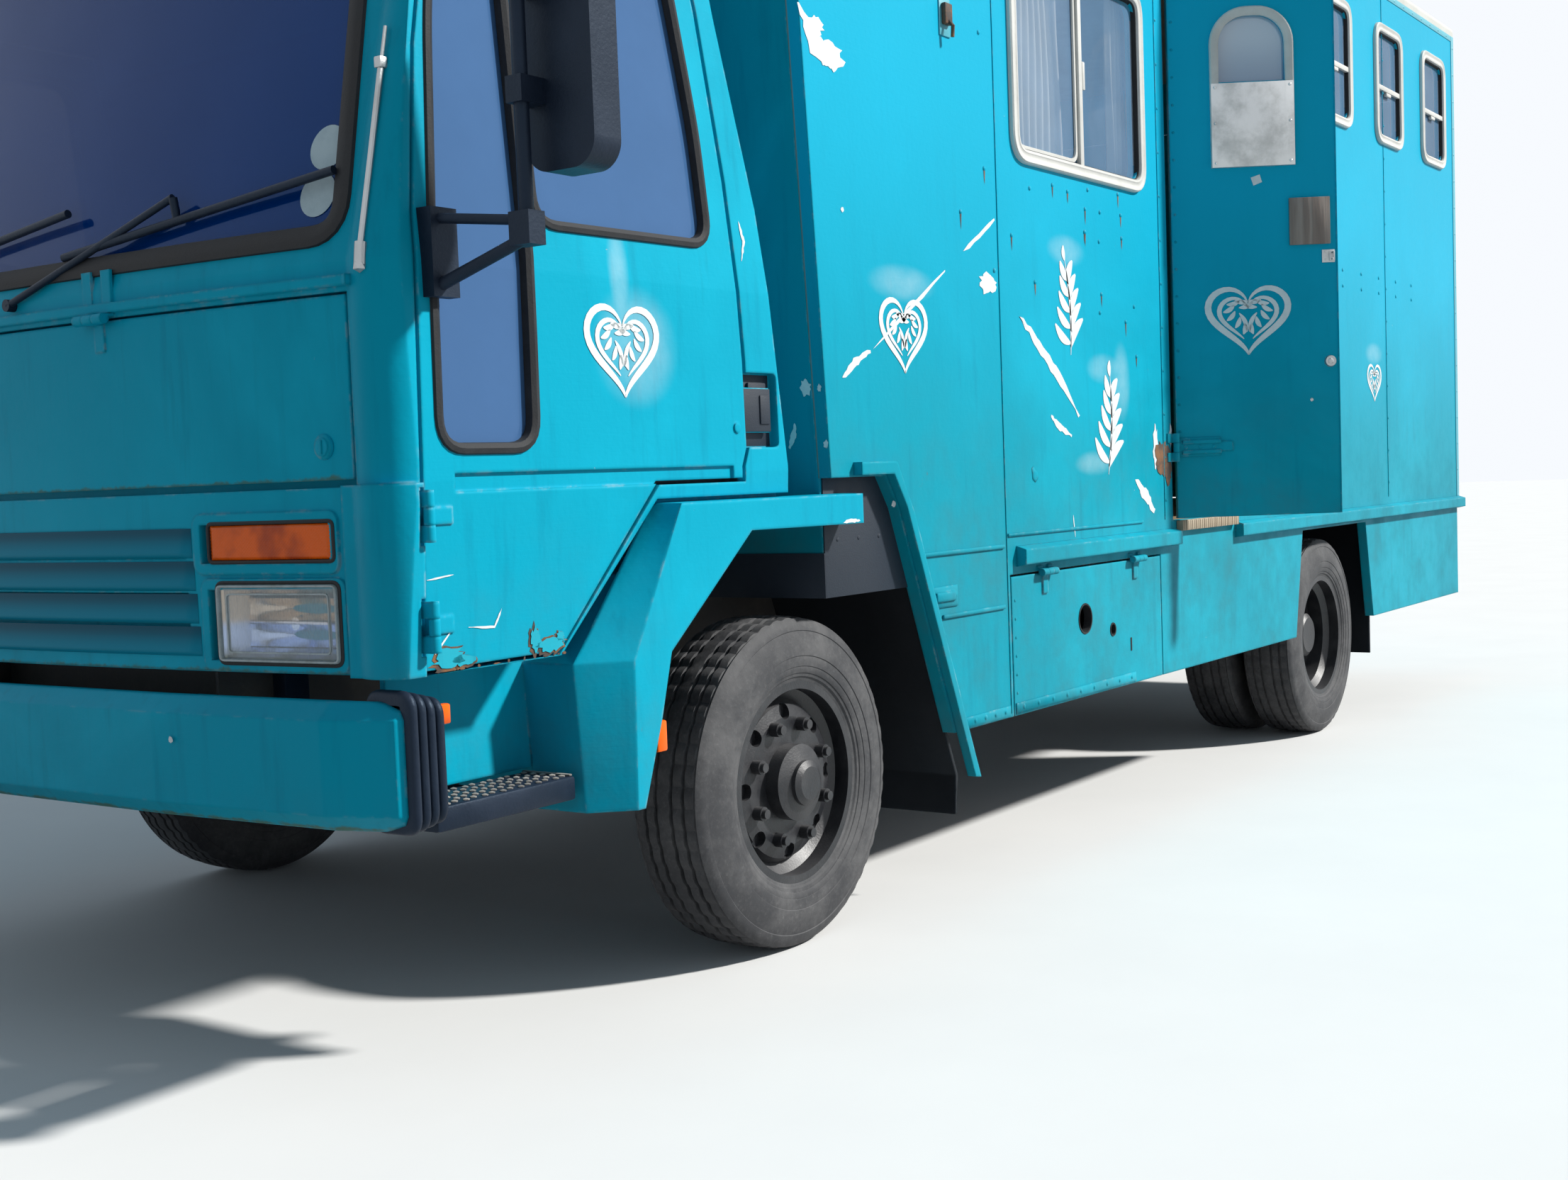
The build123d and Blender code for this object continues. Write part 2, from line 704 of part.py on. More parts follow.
def cab_shell():
    shell = CAB_OUTER - (CAB_INNER - tunnel(TUNNEL_T))
    shell -= tunnel(0)
    side = CAB_OUTER - prism_yz(cab_section(CAB_WALL + DOOR_SEAT), CAB_REAR - 10, CAB_FRONT + 20)
    for s in (1, -1):
        y0, y1 = sorted((s * 900, s * SIDE_CUT))
        shell -= side & prism_xz(door_outline(0), y0, y1)
        shell -= prism_xz(door_reveal(), y0, y1)
    shell -= prism_yz(screen_outline(0), CAB_FRONT - 420, CAB_FRONT + 40, 60)
    recess = CAB_OUTER - cab_solid(0, FRONT_LAYER + FRONT_SEAT)
    shell -= recess & front_region(FLAP_HALF_W + FLAP_GAP, FLAP_LOW - FLAP_SWEEP_GAP, FLAP_TOP + FLAP_GAP)
    shell -= recess & front_region(GRILLE_HALF_W + FLAP_GAP, GRILLE_LOW - 30, FLAP_LOW)
    for s in (1, -1):
        a, b = sorted((s * (cab_side_y(1230) - HANDLE_DEPTH), s * SIDE_CUT))
        shell -= rounded(HANDLE_X0, HANDLE_X0 + 160, HANDLE_LOW, HANDLE_TOP, a, b, 12)
    for y0, y1, z0, z1 in LAMPS.values():
        for s in (1, -1):
            a, b = sorted((s * (y0 - LAMP_CLEAR), s * (y1 + LAMP_CLEAR)))
            shell -= block(CAB_FRONT - 100, CAB_FRONT, a, b, z0 - LAMP_CLEAR, z1 + LAMP_CLEAR)
    # raised corner panels below the crease and the ledge under the windscreen
    proud = cab_solid(-CORNER_PROUD) - CAB_OUTER
    for s in (1, -1):
        a, b = sorted((s * 958, s * (CAB_HALF_W + 40)))
        corner = block(DOOR_FRONT_X + 1, CAB_FRONT + 30, a, b, CAB_SILL, CAB_CREASE - 2)
        for z in DOOR_HINGES:
            reach = HINGE_LEN / 2 + 5
            corner -= block(DOOR_FRONT_X, DOOR_HINGE_X + BARREL_R + 6, a, b, z - reach, z + reach)
        shell += proud & corner
    shell += proud & block(CAB_FRONT - 120, CAB_FRONT + 30, -1000, 1000, 1438, 1456)
    for s in (1, -1):
        for z in DOOR_HINGES:
            shell += door_hinge(s, z)[0]
    for y in FLAP_HINGES:
        shell += flap_hinge(y)[0]
    return shell


def grille_panel():
    panel = FRONT_SKIN & front_region(GRILLE_HALF_W, GRILLE_LOW, FLAP_LOW - FLAP_SWEEP_GAP)
    for i in range(5):
        z = 800 + i * 44
        cut = block(CAB_FRONT - 90, CAB_FRONT + 5, -560, 560, z, z + 24)
        panel -= cut - cab_solid(0, GRILLE_GROOVE)
    ring = cab_solid(0, -SURROUND_OUT) - CAB_OUTER
    for y0, y1, z0, z1 in LAMPS.values():
        for s in (1, -1):
            m = SURROUND_W
            a, b = sorted((s * (y0 - m), s * (y1 + m)))
            outline = [(a, z0 - m), (b, z0 - m), (b, z1 + m), (a, z1 + m)]
            panel += ring & prism_yz(outline, CAB_FRONT - 120, CAB_FRONT + 30, m)
    for y0, y1, z0, z1 in LAMPS.values():
        for s in (1, -1):
            a, b = sorted((s * (y0 - LAMP_CLEAR), s * (y1 + LAMP_CLEAR)))
            panel -= block(CAB_FRONT - 140, CAB_FRONT + 40, a, b, z0 - LAMP_CLEAR, z1 + LAMP_CLEAR)
    return panel


def front_lamps():
    lamps = []
    for y0, y1, z0, z1 in LAMPS.values():
        for s in (1, -1):
            a, b = sorted((s * y0, s * y1))
            body = block(CAB_FRONT - 100 + LAMP_CLEAR, CAB_FRONT + 20, a, b, z0, z1)
            lamps.append(body & cab_solid(0, -LAMP_OUT))
    return Compound(children=lamps)


def service_flap():
    flap = FRONT_SKIN & front_region(FLAP_HALF_W, FLAP_LOW, FLAP_TOP)
    for y in FLAP_HINGES:
        flap += flap_hinge(y)[1]
    return flap


def door_parts(side):
    y0, y1 = sorted((side * 900, side * SIDE_CUT))
    layer = CAB_OUTER - prism_yz(cab_section(CAB_WALL), CAB_REAR - 10, CAB_FRONT + 20)
    door = layer & prism_xz(door_outline(DOOR_GAP), y0, y1)
    glass = cab_solid(GLASS_SET) - cab_solid(GLASS_SET + GLASS_T)
    panes = []
    for outline in (main_window, kerb_window):
        door -= prism_xz(outline(0), y0, y1, WINDOW_R)
        panes.append(glass & prism_xz(outline(GLASS_GAP), y0, y1, WINDOW_R - GLASS_GAP))
    skin = cab_side_y(1230)
    y0, y1 = sorted((side * (skin - 16), side * (skin - 7)))
    door += block(HANDLE_X0 + 22, DOOR_REAR_X + 14, y0, y1, HANDLE_LOW + 32, HANDLE_TOP - 32)
    lock_x = DOOR_REAR_X + 24
    door += rod((lock_x, side * (skin - 10), 1192), (lock_x, side * (skin + 4), 1192), 11)
    for z in DOOR_HINGES:
        door += door_hinge(side, z)[1]
    # recessed waist band
    door -= block(300, 1112, *sorted((side * (CAB_HALF_W - 7), side * SIDE_CUT)), 1080, 1112)
    return door, Compound(children=panes)


def windscreen():
    glass = cab_solid(0, GLASS_SET) - cab_solid(0, GLASS_SET + GLASS_T)
    return glass & prism_yz(screen_outline(GLASS_GAP), CAB_FRONT - 420, CAB_FRONT + 40, 60 - GLASS_GAP)


BUMPER_LOW = 500.0
BUMPER_TOP = 726.0
BUMPER_END_X = 1246.0
BUMPER_EASE = 30.0


def front_bumper():
    outer = [(1342, 0), (1337, 500), (1308, 930), (1262, 1068), (BUMPER_END_X, 1076)]
    inner = [(BUMPER_END_X, 1034), (1262, 905), (1290, 500), (1295, 0)]
    loop = outer[1:] + inner[:-1]
    points = [outer[0]] + loop + [inner[-1]] + [(x, -y) for x, y in reversed(loop)]
    bumper = prism_xy(points, BUMPER_LOW, BUMPER_TOP)
    # the top and bottom edges are cut back as flats
    e = BUMPER_EASE
    shape = [(1200, BUMPER_LOW), (1342 - e, BUMPER_LOW), (1342, BUMPER_LOW + e), (1342, BUMPER_TOP - e),
             (1342 - e, BUMPER_TOP), (1200, BUMPER_TOP)]
    eased = loft_along(outer, shape)
    bumper = bumper & eased
    # brackets back to the frame
    for s in (1, -1):
        a, b = sorted((s * (RAIL_Y - 60), s * (RAIL_Y - 8)))
        bumper += block(RAIL_FRONT, 1300, a, b, 640, 700)
    return bumper


def loft_along(outer, shape):
    """The eased section swept as straight pieces along half the bumper, then mirrored."""
    solid = None
    for (x0, y0), (x1, y1) in zip(outer, outer[1:]):
        dx = x0 - 1342.0
        dx1 = x1 - 1342.0
        a = [(x + dx, z) for x, z in shape]
        b = [(x + dx1, z) for x, z in shape]
        piece = loft([section_xz(a, y0), section_xz(b, y1)], ruled=True)
        solid = piece if solid is None else solid + piece
    return solid + mirrored(solid)


def section_xz(points, y):
    plane = Plane(origin=(0, y, 0), x_dir=(1, 0, 0), z_dir=(0, -1, 0))
    return plane * make_face(Polyline(*points, close=True).edges())


STEP_IN = 930.0
STEP_OUT = 1062.0
STEP_TOP = 530.0
RIB_COUNT = 4
RIB_W = 22.0


def cab_steps():
    """Black mouldings: the step behind the bumper and the bumper's ribbed end."""
    parts = []
    for s in (1, -1):
        a, b = sorted((s * STEP_IN, s * STEP_OUT))
        tread = block(806, BUMPER_END_X - 80, a, b, STEP_TOP - 46, STEP_TOP)
        a, b = sorted((s * RAIL_Y, s * (STEP_IN + 20)))
        arm = block(940, 1000, a, b, STEP_TOP - 46, STEP_TOP - 6)
        a, b = sorted((s * RAIL_Y, s * (RAIL_Y + 40)))
        part = tread + arm + block(940, 1000, a, b, STEP_TOP - 46, RAIL_TOP - 60)
        x = BUMPER_END_X - 0.3
        for i in range(RIB_COUNT):
            a, b = sorted((s * 1000, s * (1092 - 1.5 * i)))
            part += rounded(x - RIB_W, x, BUMPER_LOW - 6 + 3 * i, BUMPER_TOP + 18 - 6 * i, a, b, 8)
            x -= RIB_W
        a, b = sorted((s * 1000, s * 1080))
        part += block(x, BUMPER_END_X - 6, a, b, BUMPER_LOW + 8, BUMPER_TOP - 12)
        parts.append(part)
    return Compound(children=parts)


# wing lip outline: inner is beside the cab, outer is the lip, as (x, z)
WING_TOP = 1046.0
WING_IN = [(780, 452), (800, 742), (546, WING_TOP - 4), (-130, WING_TOP - 4),
           (-130, 972), (306, 975), (598, 750), (640, 620), (700, 452)]
WING_OUT = [(712, 452), (704, 742), (540, WING_TOP - 6), (-130, WING_TOP - 6),
            (-130, 972), (306, 975), (590, 748), (628, 620), (690, 452)]


def wing_face(points, y):
    plane = Plane(origin=(0, y, 0), x_dir=(1, 0, 0), z_dir=(0, -1, 0))
    return plane * make_face(Polyline(*points, close=True).edges())


def front_wings():
    parts = []
    for s in (1, -1):
        lip = loft([wing_face(WING_IN, s * 1062), wing_face(WING_OUT, s * 1136)], ruled=True)
        a, b = sorted((s * 640, s * 1062))
        line = [(700, 452), (640, 620), (598, 750), (306, 975), (-130, 975)]
        back = [(-130, 983), (309, 983), (606, 754), (648, 624), (708, 452)]
        liner = prism_xz(line + back, a, b)
        a, b = sorted((s * 1000, s * 1062))
        behind = [(CAB_REAR + 10, 983), (309, 983), (550, 800), (550, CAB_FLOOR), (CAB_REAR + 10, CAB_FLOOR)]
        liner += prism_xz(behind, a, b)
        a, b = sorted((s * STEP_IN, s * 1062))
        wall = [(780, 452), (800, 742), (640, 905), (628, 893), (787, 737), (768, 452)]
        front = prism_xz(wall, a, b)
        a, b = sorted((s * (STEP_IN - 12), s * STEP_IN))
        front += block(787, BUMPER_END_X - 92, a, b, STEP_TOP + 6, CAB_SILL - 8)
        wing = lip + liner + front
        # the living body's lower front corner comes down inside the wing's rear end
        a, b = sorted((s * 600, s * (BODY_HALF_W - BODY_WALL + 6)))
        wing -= block(-140, BODY_FRONT_LOW + 26, a, b, 890, CAB_CREASE)
        parts.append(wing)
    return Compound(children=parts)


MIRROR_TUBE = (1105.0, 1280.0)
MIRROR_IN = 30.0
MIRROR_OUT = 122.0


def mirror_arm(side):
    """Arms on the door's front edge, an upright tube and the housing behind it."""
    x, y = MIRROR_TUBE
    bracket = block(1100, DOOR_FRONT_X - 34, *sorted((side * 1050, side * 1112)), 1414, 1566) - CAB_OUTER
    arms = rod((1140, side * 1100, 1548), (x, side * y, 1528), 9)
    arms += rod((1140, side * 1100, 1432), (x, side * y, 1500), 11)
    post = rod((x, side * y, 1490), (x, side * y, 2110), 13)
    elbow = Pos(x, side * y, 1514) * Box(40, 46, 56)
    a, b = sorted((side * (y - MIRROR_IN), side * (y + MIRROR_OUT)))
    head = rounded_box(x - 108, x - 40, a, b, 1610, 2030, 24)
    links = None
    for z in (1720, 1900):
        clamp = block(x - 50, x + 18, *sorted((side * (y - 18), side * (y + 18))), z, z + 44)
        links = clamp if links is None else links + clamp
    return bracket + arms + post + elbow + head + links


def rounded_box(x0, x1, y0, y1, z0, z1, r):
    solid = block(x0, x1, y0, y1, z0, z1)
    return fillet(solid.edges().filter_by(Axis.X), r * 2) if r * 4 < min(y1 - y0, z1 - z0) else solid


def screen_x(y, z):
    """Reach of the raked windscreen surface."""
    return cab_front_x(y) - SCREEN_RAKE * (z - SCREEN_BASE)


WIPER_Y = (90.0, -610.0)


def wipers():
    """Two arms lying over the glass, with their pivots below it."""
    parts = []
    for y in WIPER_Y:
        low = SCREEN_BASE - 4
        post = rod((cab_front_x(y) - 6, y, low), (cab_front_x(y) + 18, y, low), 12)
        knee = (screen_x(y + 461, low + 160) + 16, y + 461, low + 160)
        arm = rod((cab_front_x(y) + 12, y, low), knee, 7)
        a = (screen_x(y + 160, low + 78) + 12, y + 160, low + 78)
        b = (screen_x(y + 851, low + 165) + 12, y + 851, low + 165)
        link = rod(knee, (knee[0] - 8, knee[1], knee[2] - 44), 8)
        parts.append(post + arm + link + rod(a, b, 8) - CAB_OUTER)
    return Compound(children=parts)


def dashboard():
    z = SCREEN_BASE
    dash = prism_xz([(1150, z - 380), (1150, z), (1010, z + 10), (960, z - 60), (990, z - 380)], -900, 900)
    dash = dash & cab_solid(CAB_WALL + FIT_GAP, 105.0 + FIT_GAP)
    dash -= tunnel(TUNNEL_T + FIT_GAP)
    axis = Vector(-0.5, 0, 0.866)
    face = Plane(origin=(838, -560, z + 50), z_dir=axis)
    column = rod((985, -560, z - 110), (850, -560, z + 34), 26)
    wheel = face * Torus(215, 15)
    hub = face * Pos(0, 0, -12) * Cylinder(45, 40)
    spokes = face * (Box(430, 30, 12) + Box(30, 430, 12))
    return dash + column + hub + spokes + wheel


def cab_seats():
    seats = []
    floor = CAB_FLOOR + CAB_WALL
    for y0, y1 in ((-780, -360), (360, 860)):
        base = block(400, 750, y0 + 40, y1 - 40, floor, floor + 150)
        cushion = block(360, 790, y0, y1, floor + 150, floor + 260)
        back = prism_xz([(365, floor + 260), (480, floor + 260), (415, floor + 860), (330, floor + 860)],
                        y0, y1)
        seats.append(base + cushion + back)
    return Compound(children=seats)


# Living body
def body_front_x(z):
    share = (z - FLOOR_TOP) / (WALL_TOP - FLOOR_TOP)
    return BODY_FRONT_LOW + share * (BODY_FRONT_TOP - BODY_FRONT_LOW)


ARCH_REAR_HALF = 470.0
ARCH_REAR_TOP = 812.0
FRAME_END = BODY_REAR + BODY_WALL


def side_outline():
    return [
        (body_front_x(1078), 1078), (BODY_FRONT_TOP, WALL_TOP), (FRAME_END, WALL_TOP),
        (FRAME_END, SKIRT_BOTTOM), (-580, SKIRT_BOTTOM), (-345, 1000), (-290, 1078),
    ]


# windows of the living body: side, x from, x to, z from, z to
BODY_WINDOWS = [
    ("left", -1836, -972, 1902, 2510),
    ("left", -3880, -3500, 2372, 2868),
    ("left", -4570, -4190, 2372, 2868),
    ("left", -5240, -4860, 2372, 2868),
    ("right", -1836, -972, 1902, 2510),
    ("right", -3880, -3500, 2372, 2868),
    ("right", -4570, -4190, 2372, 2868),
    ("right", -5240, -4860, 2372, 2868),
]
FRAME_LIP = 38.0
FRAME_OUT = 14.0
WINDOW_CORNER = 70.0


def rounded(x0, x1, z0, z1, y0, y1, r):
    return prism_xz([(x0, z0), (x1, z0), (x1, z1), (x0, z1)], y0, y1, r)


def window_cuts(name, wall):
    for side, x0, x1, z0, z1 in BODY_WINDOWS:
        if side == name:
            m = FRAME_LIP
            y = BODY_HALF_W + 10 if name == "left" else -BODY_HALF_W + BODY_WALL + 10
            r = WINDOW_CORNER - m / 2
            wall -= rounded(x0 + m, x1 - m, z0 + m, z1 - m, y - BODY_WALL - 20, y + 10, r)
    return wall


LIVING_SWEEP_GAP = 9.0
LIVING_HINGE = (LIVING_FRONT_X - HINGE_CLEAR / 2, BODY_HALF_W + HINGE_OUT)
LIVING_HINGES = (1130.0, 2610.0)
LOCKER_HINGE = (BODY_HALF_W + HINGE_OUT, LOCKER_TOP - HINGE_CLEAR / 2)
LOCKER_HINGES = (-1700.0, -1100.0)
RAMP_HINGE = (BODY_REAR - HINGE_OUT, RAMP_BOTTOM - HINGE_CLEAR / 2)
RAMP_HINGES = (-760.0, 0.0, 760.0)


def living_hinge(z):
    x, y = LIVING_HINGE
    return hinge(Pos(x, y, z), 40, 180, HINGE_OUT + 1)


def locker_hinge(x):
    y, z = LOCKER_HINGE
    return hinge(hinge_place((x, y, z), (0, 0, 1), (-1, 0, 0)), 18, 60, HINGE_OUT + 1)


def ramp_hinge(y):
    x, z = RAMP_HINGE
    return hinge(hinge_place((x, y, z), (0, 0, -1), (0, 1, 0)), 50, 90, HINGE_OUT + 1)


def body_side(name):
    s = 1 if name == "left" else -1
    y0, y1 = sorted((s * (BODY_HALF_W - BODY_WALL), s * BODY_HALF_W))
    wall = prism_xz(side_outline(), y0, y1)
    wall = window_cuts(name, wall)
    mid = -WHEELBASE
    low = SKIRT_BOTTOM - 5
    half = ARCH_REAR_HALF
    arch = [(mid - half, low), (mid - half + 90, ARCH_REAR_TOP),
            (mid + half - 90, ARCH_REAR_TOP), (mid + half, low)]
    wall -= prism_xz(arch, y0 - 5, y1 + 5)
    if name == "left":
        wall -= block(LIVING_FRONT_X - LIVING_WIDTH - HINGE_CLEAR - LIVING_SWEEP_GAP, LIVING_FRONT_X,
                      y0 - 5, y1 + 5, FLOOR_TOP, LIVING_TOP + HINGE_CLEAR)
        wall -= block(LOCKER_REAR_X, LOCKER_FRONT_X, y0 - 5, y1 + 5, SKIRT_BOTTOM - 5, LOCKER_TOP)
        for z in LIVING_HINGES:
            wall += living_hinge(z)[0]
        for x in LOCKER_HINGES:
            wall += locker_hinge(x)[0]
    return wall


def body_floor():
    inner = BODY_HALF_W - BODY_WALL
    slab = block(FRAME_END, BODY_FRONT_LOW, -inner, inner, FLOOR_BOTTOM, FLOOR_TOP)
    # bearers between the frame rails and the floor
    for x in (-700, -1300, -2200, -2900, -4400, -5000):
        slab += block(x - 30, x + 30, -inner + 40, inner - 40, RAIL_TOP, FLOOR_BOTTOM)
    return slab


def locker_box():
    """Open-fronted box behind the locker door, hung under the floor."""
    inner = BODY_HALF_W - BODY_WALL
    x0, x1 = LOCKER_REAR_X, LOCKER_FRONT_X
    outer = block(x0, x1, 700, inner, SKIRT_BOTTOM + 10, RAIL_TOP)
    return outer - block(x0 + 12, x1 - 12, 712, inner + 5, SKIRT_BOTTOM + 22, RAIL_TOP - 12)


def body_roof():
    roof = block(BODY_REAR, BODY_FRONT_TOP, -BODY_HALF_W, BODY_HALF_W, WALL_TOP, BODY_TOP)
    long_edges = roof.edges().filter_by(Axis.X).group_by(Axis.Z)[-1]
    return fillet(long_edges, 30)


def body_bulkhead():
    inner = BODY_HALF_W - BODY_WALL
    t = BODY_WALL
    pts = [(body_front_x(FLOOR_TOP), FLOOR_TOP), (BODY_FRONT_TOP, WALL_TOP),
           (BODY_FRONT_TOP - t, WALL_TOP), (body_front_x(FLOOR_TOP) - t, FLOOR_TOP)]
    return prism_xz(pts, -inner, inner)


# bolt pattern for a towing jaw in the rear beam
HITCH_Z = 690.0
HITCH_Y = 140.0
HITCH_H = 80.0
HITCH_HOLE_R = 8.5


def rear_frame():
    frame = block(BODY_REAR, FRAME_END, -BODY_HALF_W, BODY_HALF_W, FLOOR_BOTTOM, WALL_TOP)
    frame -= block(BODY_REAR - 5, FRAME_END + 5, -RAMP_HALF_W - HINGE_CLEAR, RAMP_HALF_W + HINGE_CLEAR,
                   RAMP_BOTTOM - HINGE_CLEAR, RAMP_TOP + HINGE_CLEAR)
    beam = block(BODY_REAR + 12, RAIL_REAR, -900, 900, HITCH_Z - 70, HITCH_Z + 70)
    for y in (-HITCH_Y / 2, HITCH_Y / 2):
        for z in (HITCH_Z - HITCH_H / 2, HITCH_Z + HITCH_H / 2):
            beam -= Pos(BODY_REAR + 50, y, z) * Rot(0, 90, 0) * Cylinder(HITCH_HOLE_R, 120)
    for s in (1, -1):
        a, b = sorted((s * 880, s * 960))
        beam += block(BODY_REAR + 12, FRAME_END, a, b, HITCH_Z, FLOOR_BOTTOM)
    for y in RAMP_HINGES:
        frame += ramp_hinge(y)[0]
    return frame + beam


# rear lamps: reach behind the beam, half-width from and to, z from and to
REAR_LAMP_OUT = 36.0
REAR_LAMP_Y = (640.0, 860.0)
REAR_LAMP_Z = (650.0, 730.0)
REAR_LAMP_EASE = 8.0


def rear_lamps():
    """Oblong lamps screwed flat to the rear beam."""
    parts = []
    face = BODY_REAR + 12
    for s in (1, -1):
        a, b = sorted((s * REAR_LAMP_Y[0], s * REAR_LAMP_Y[1]))
        lamp = block(face - REAR_LAMP_OUT, face, a, b, *REAR_LAMP_Z)
        back = lamp.faces().sort_by(Axis.X)[0]
        parts.append(fillet(back.edges(), REAR_LAMP_EASE))
    return Compound(children=parts)


def body_windows():
    parts = []
    for side, x0, x1, z0, z1 in BODY_WINDOWS:
        s = 1 if side == "left" else -1
        m = FRAME_LIP
        r = WINDOW_CORNER
        y0, y1 = sorted((s * BODY_HALF_W, s * (BODY_HALF_W + FRAME_OUT)))
        ring = rounded(x0, x1, z0, z1, y0, y1, r)
        ring -= rounded(x0 + m, x1 - m, z0 + m, z1 - m, y0 - 5, y1 + 5, r - m / 2)
        y0, y1 = sorted((s * (BODY_HALF_W - 20), s * (BODY_HALF_W + 2)))
        g = GLASS_GAP
        pane = rounded(x0 + m + g, x1 - m - g, z0 + m + g, z1 - m - g, y0, y1, r - m / 2 - g)
        parts.append(ring)
        parts.append(pane)
    return Compound(children=parts)


def rub_rails():
    parts = []
    runs = [(1, LIVING_FRONT_X - 2, -940), (1, BODY_REAR, LIVING_FRONT_X - LIVING_WIDTH - 16),
            (-1, BODY_REAR, -940)]
    for s, x0, x1 in runs:
        y = s * BODY_HALF_W
        out = s * (BODY_HALF_W + RUB_OUT)
        profile = [(y, RUB_TOP), (y, RUB_TOP - RUB_H), (out, RUB_TOP - RUB_H + 6), (out, RUB_TOP - 10)]
        parts.append(prism_yz(profile, x0, x1))
    return Compound(children=parts)


# line down the rear of the front arch, x and z, and the strip's outer line
ARCH_LINE = [(-150, 1082), (-292, 1082), (-346, 1002), (-585, 430), (-640, 300)]
ARCH_BACK = [(-668, 296), (-613, 426), (-378, 990), (-306, 1112), (-150, 1112)]


def mudguards():
    """Trim strips beside the front arch, inner panels behind the wheels and flaps."""
    parts = []
    inner = BODY_HALF_W - BODY_WALL
    for s in (1, -1):
        y0, y1 = sorted((s * BODY_HALF_W, s * (BODY_HALF_W + 24)))
        parts.append(prism_xz(ARCH_LINE + ARCH_BACK, y0, y1))
        a, b = sorted((s * 640, s * inner))
        front = [(-425, FLOOR_BOTTOM), (-437, FLOOR_BOTTOM), (-597, 425),
                 (-650, 300), (-638, 300), (-585, 425)]
        panel = prism_xz(front, a, b)
        panel += prism_xz([(-650, 300), (-638, 300), (-630, 200), (-636, 200)], a, b)
        parts.append(panel)
        x = -WHEELBASE - 520
        a, b = sorted((s * 560, s * inner))
        parts.append(block(x - 12, x, a, b, 260, FLOOR_BOTTOM))
    return Compound(children=parts)


# window of the living door: frame, opening and the plate below it
LIVING_PANE_INSET = 130.0
LIVING_FRAME_W = 24.0
LIVING_FRAME_LOW = 2000.0
LIVING_PANE_LOW = 2262.0
LIVING_FRAME_TOP = 2490.0
LIVING_ARCH_R = 112.0
LIVING_FRAME_OUT = 6.0


def arched(x0, x1, z0, z1, y0, y1, r):
    """Plate with square lower corners and rounded upper ones."""
    plate = block(x0, x1, y0, y1, z0, z1 - r) + block(x0 + r, x1 - r, y0, y1, z1 - r - 1, z1)
    for x in (x0 + r, x1 - r):
        plate += tube_y(x, z1 - r, y0, y1, r)
    return plate


def living_door():
    """Made shut, then turned out about its hinge line to the angle of the photograph."""
    x1 = LIVING_FRONT_X - HINGE_CLEAR
    x0 = x1 - LIVING_WIDTH
    y1 = BODY_HALF_W
    y0 = BODY_HALF_W - BODY_WALL
    z0 = FLOOR_TOP + HINGE_CLEAR
    door = block(x0, x1, y0, y1, z0, LIVING_TOP)
    wx0 = x0 + LIVING_PANE_INSET
    wx1 = x1 - LIVING_PANE_INSET
    m = LIVING_FRAME_W
    r = LIVING_ARCH_R
    opening = (wx0 + m, wx1 - m, LIVING_PANE_LOW, LIVING_FRAME_TOP - m)
    door -= arched(*opening, y0 - 5, y1 + 5, r - m)
    frame = arched(wx0, wx1, LIVING_FRAME_LOW, LIVING_FRAME_TOP, y1, y1 + LIVING_FRAME_OUT, r)
    frame -= arched(*opening, y1 - 5, y1 + 15, r - m)
    door += frame
    door += arched(*opening, y1 - 20, y1 - 14, r - m)
    for z in LIVING_HINGES:
        door += living_hinge(z)[1]
    return turn_living(door, LIVING_OPEN_DEG)


def turn_living(part, degrees):
    x, y = LIVING_HINGE
    return Pos(x, y, 0) * Rot(0, 0, -degrees) * Pos(-x, -y, 0) * part


def locker_door():
    g = HINGE_CLEAR
    y1 = BODY_HALF_W
    y0 = BODY_HALF_W - 24
    door = block(LOCKER_REAR_X + g, LOCKER_FRONT_X - g, y0, y1, SKIRT_BOTTOM, LOCKER_TOP - g)
    door -= tube_y(-1352, 644, y0 - 5, y1 + 5, 42)
    door -= tube_y(-1537, 596, y0 - 5, y1 + 5, 18)
    for x in LOCKER_HINGES:
        door += locker_hinge(x)[1]
    return door


def rear_ramp():
    x0 = BODY_REAR
    ramp = block(x0, x0 + RAMP_T, -RAMP_HALF_W, RAMP_HALF_W, RAMP_BOTTOM, RAMP_TOP)
    for y in RAMP_HINGES:
        ramp += ramp_hinge(y)[1]
    return ramp


nodes = {
    "chassis_frame": chassis_frame(),
    "front_axle_beam": front_axle_beam(),
    "rear_axle": rear_axle(),
    "leaf_springs": leaf_springs(),
    "engine_and_gearbox": engine_and_gearbox(),
    "exhaust": exhaust(),
    "fuel_tank": fuel_tank(),
    "cab_shell": cab_shell(),
    "windscreen": windscreen(),
    "grille_panel": grille_panel(),
    "front_lamps": front_lamps(),
    "front_bumper": front_bumper(),
    "cab_steps": cab_steps(),
    "front_wings": front_wings(),
    "wipers": wipers(),
    "dashboard": dashboard(),
    "cab_seats": cab_seats(),
    "body_floor": body_floor(),
    "locker_box": locker_box(),
    "body_side_left": body_side("left"),
    "body_side_right": body_side("right"),
    "body_roof": body_roof(),
    "body_bulkhead": body_bulkhead(),
    "rear_frame": rear_frame(),
    "rear_lamps": rear_lamps(),
    "body_windows": body_windows(),
    "rub_rails": rub_rails(),
    "mudguards": mudguards(),
    "service_flap": service_flap(),
    "living_door": living_door(),
    "locker_door": locker_door(),
    "rear_ramp": rear_ramp(),
}
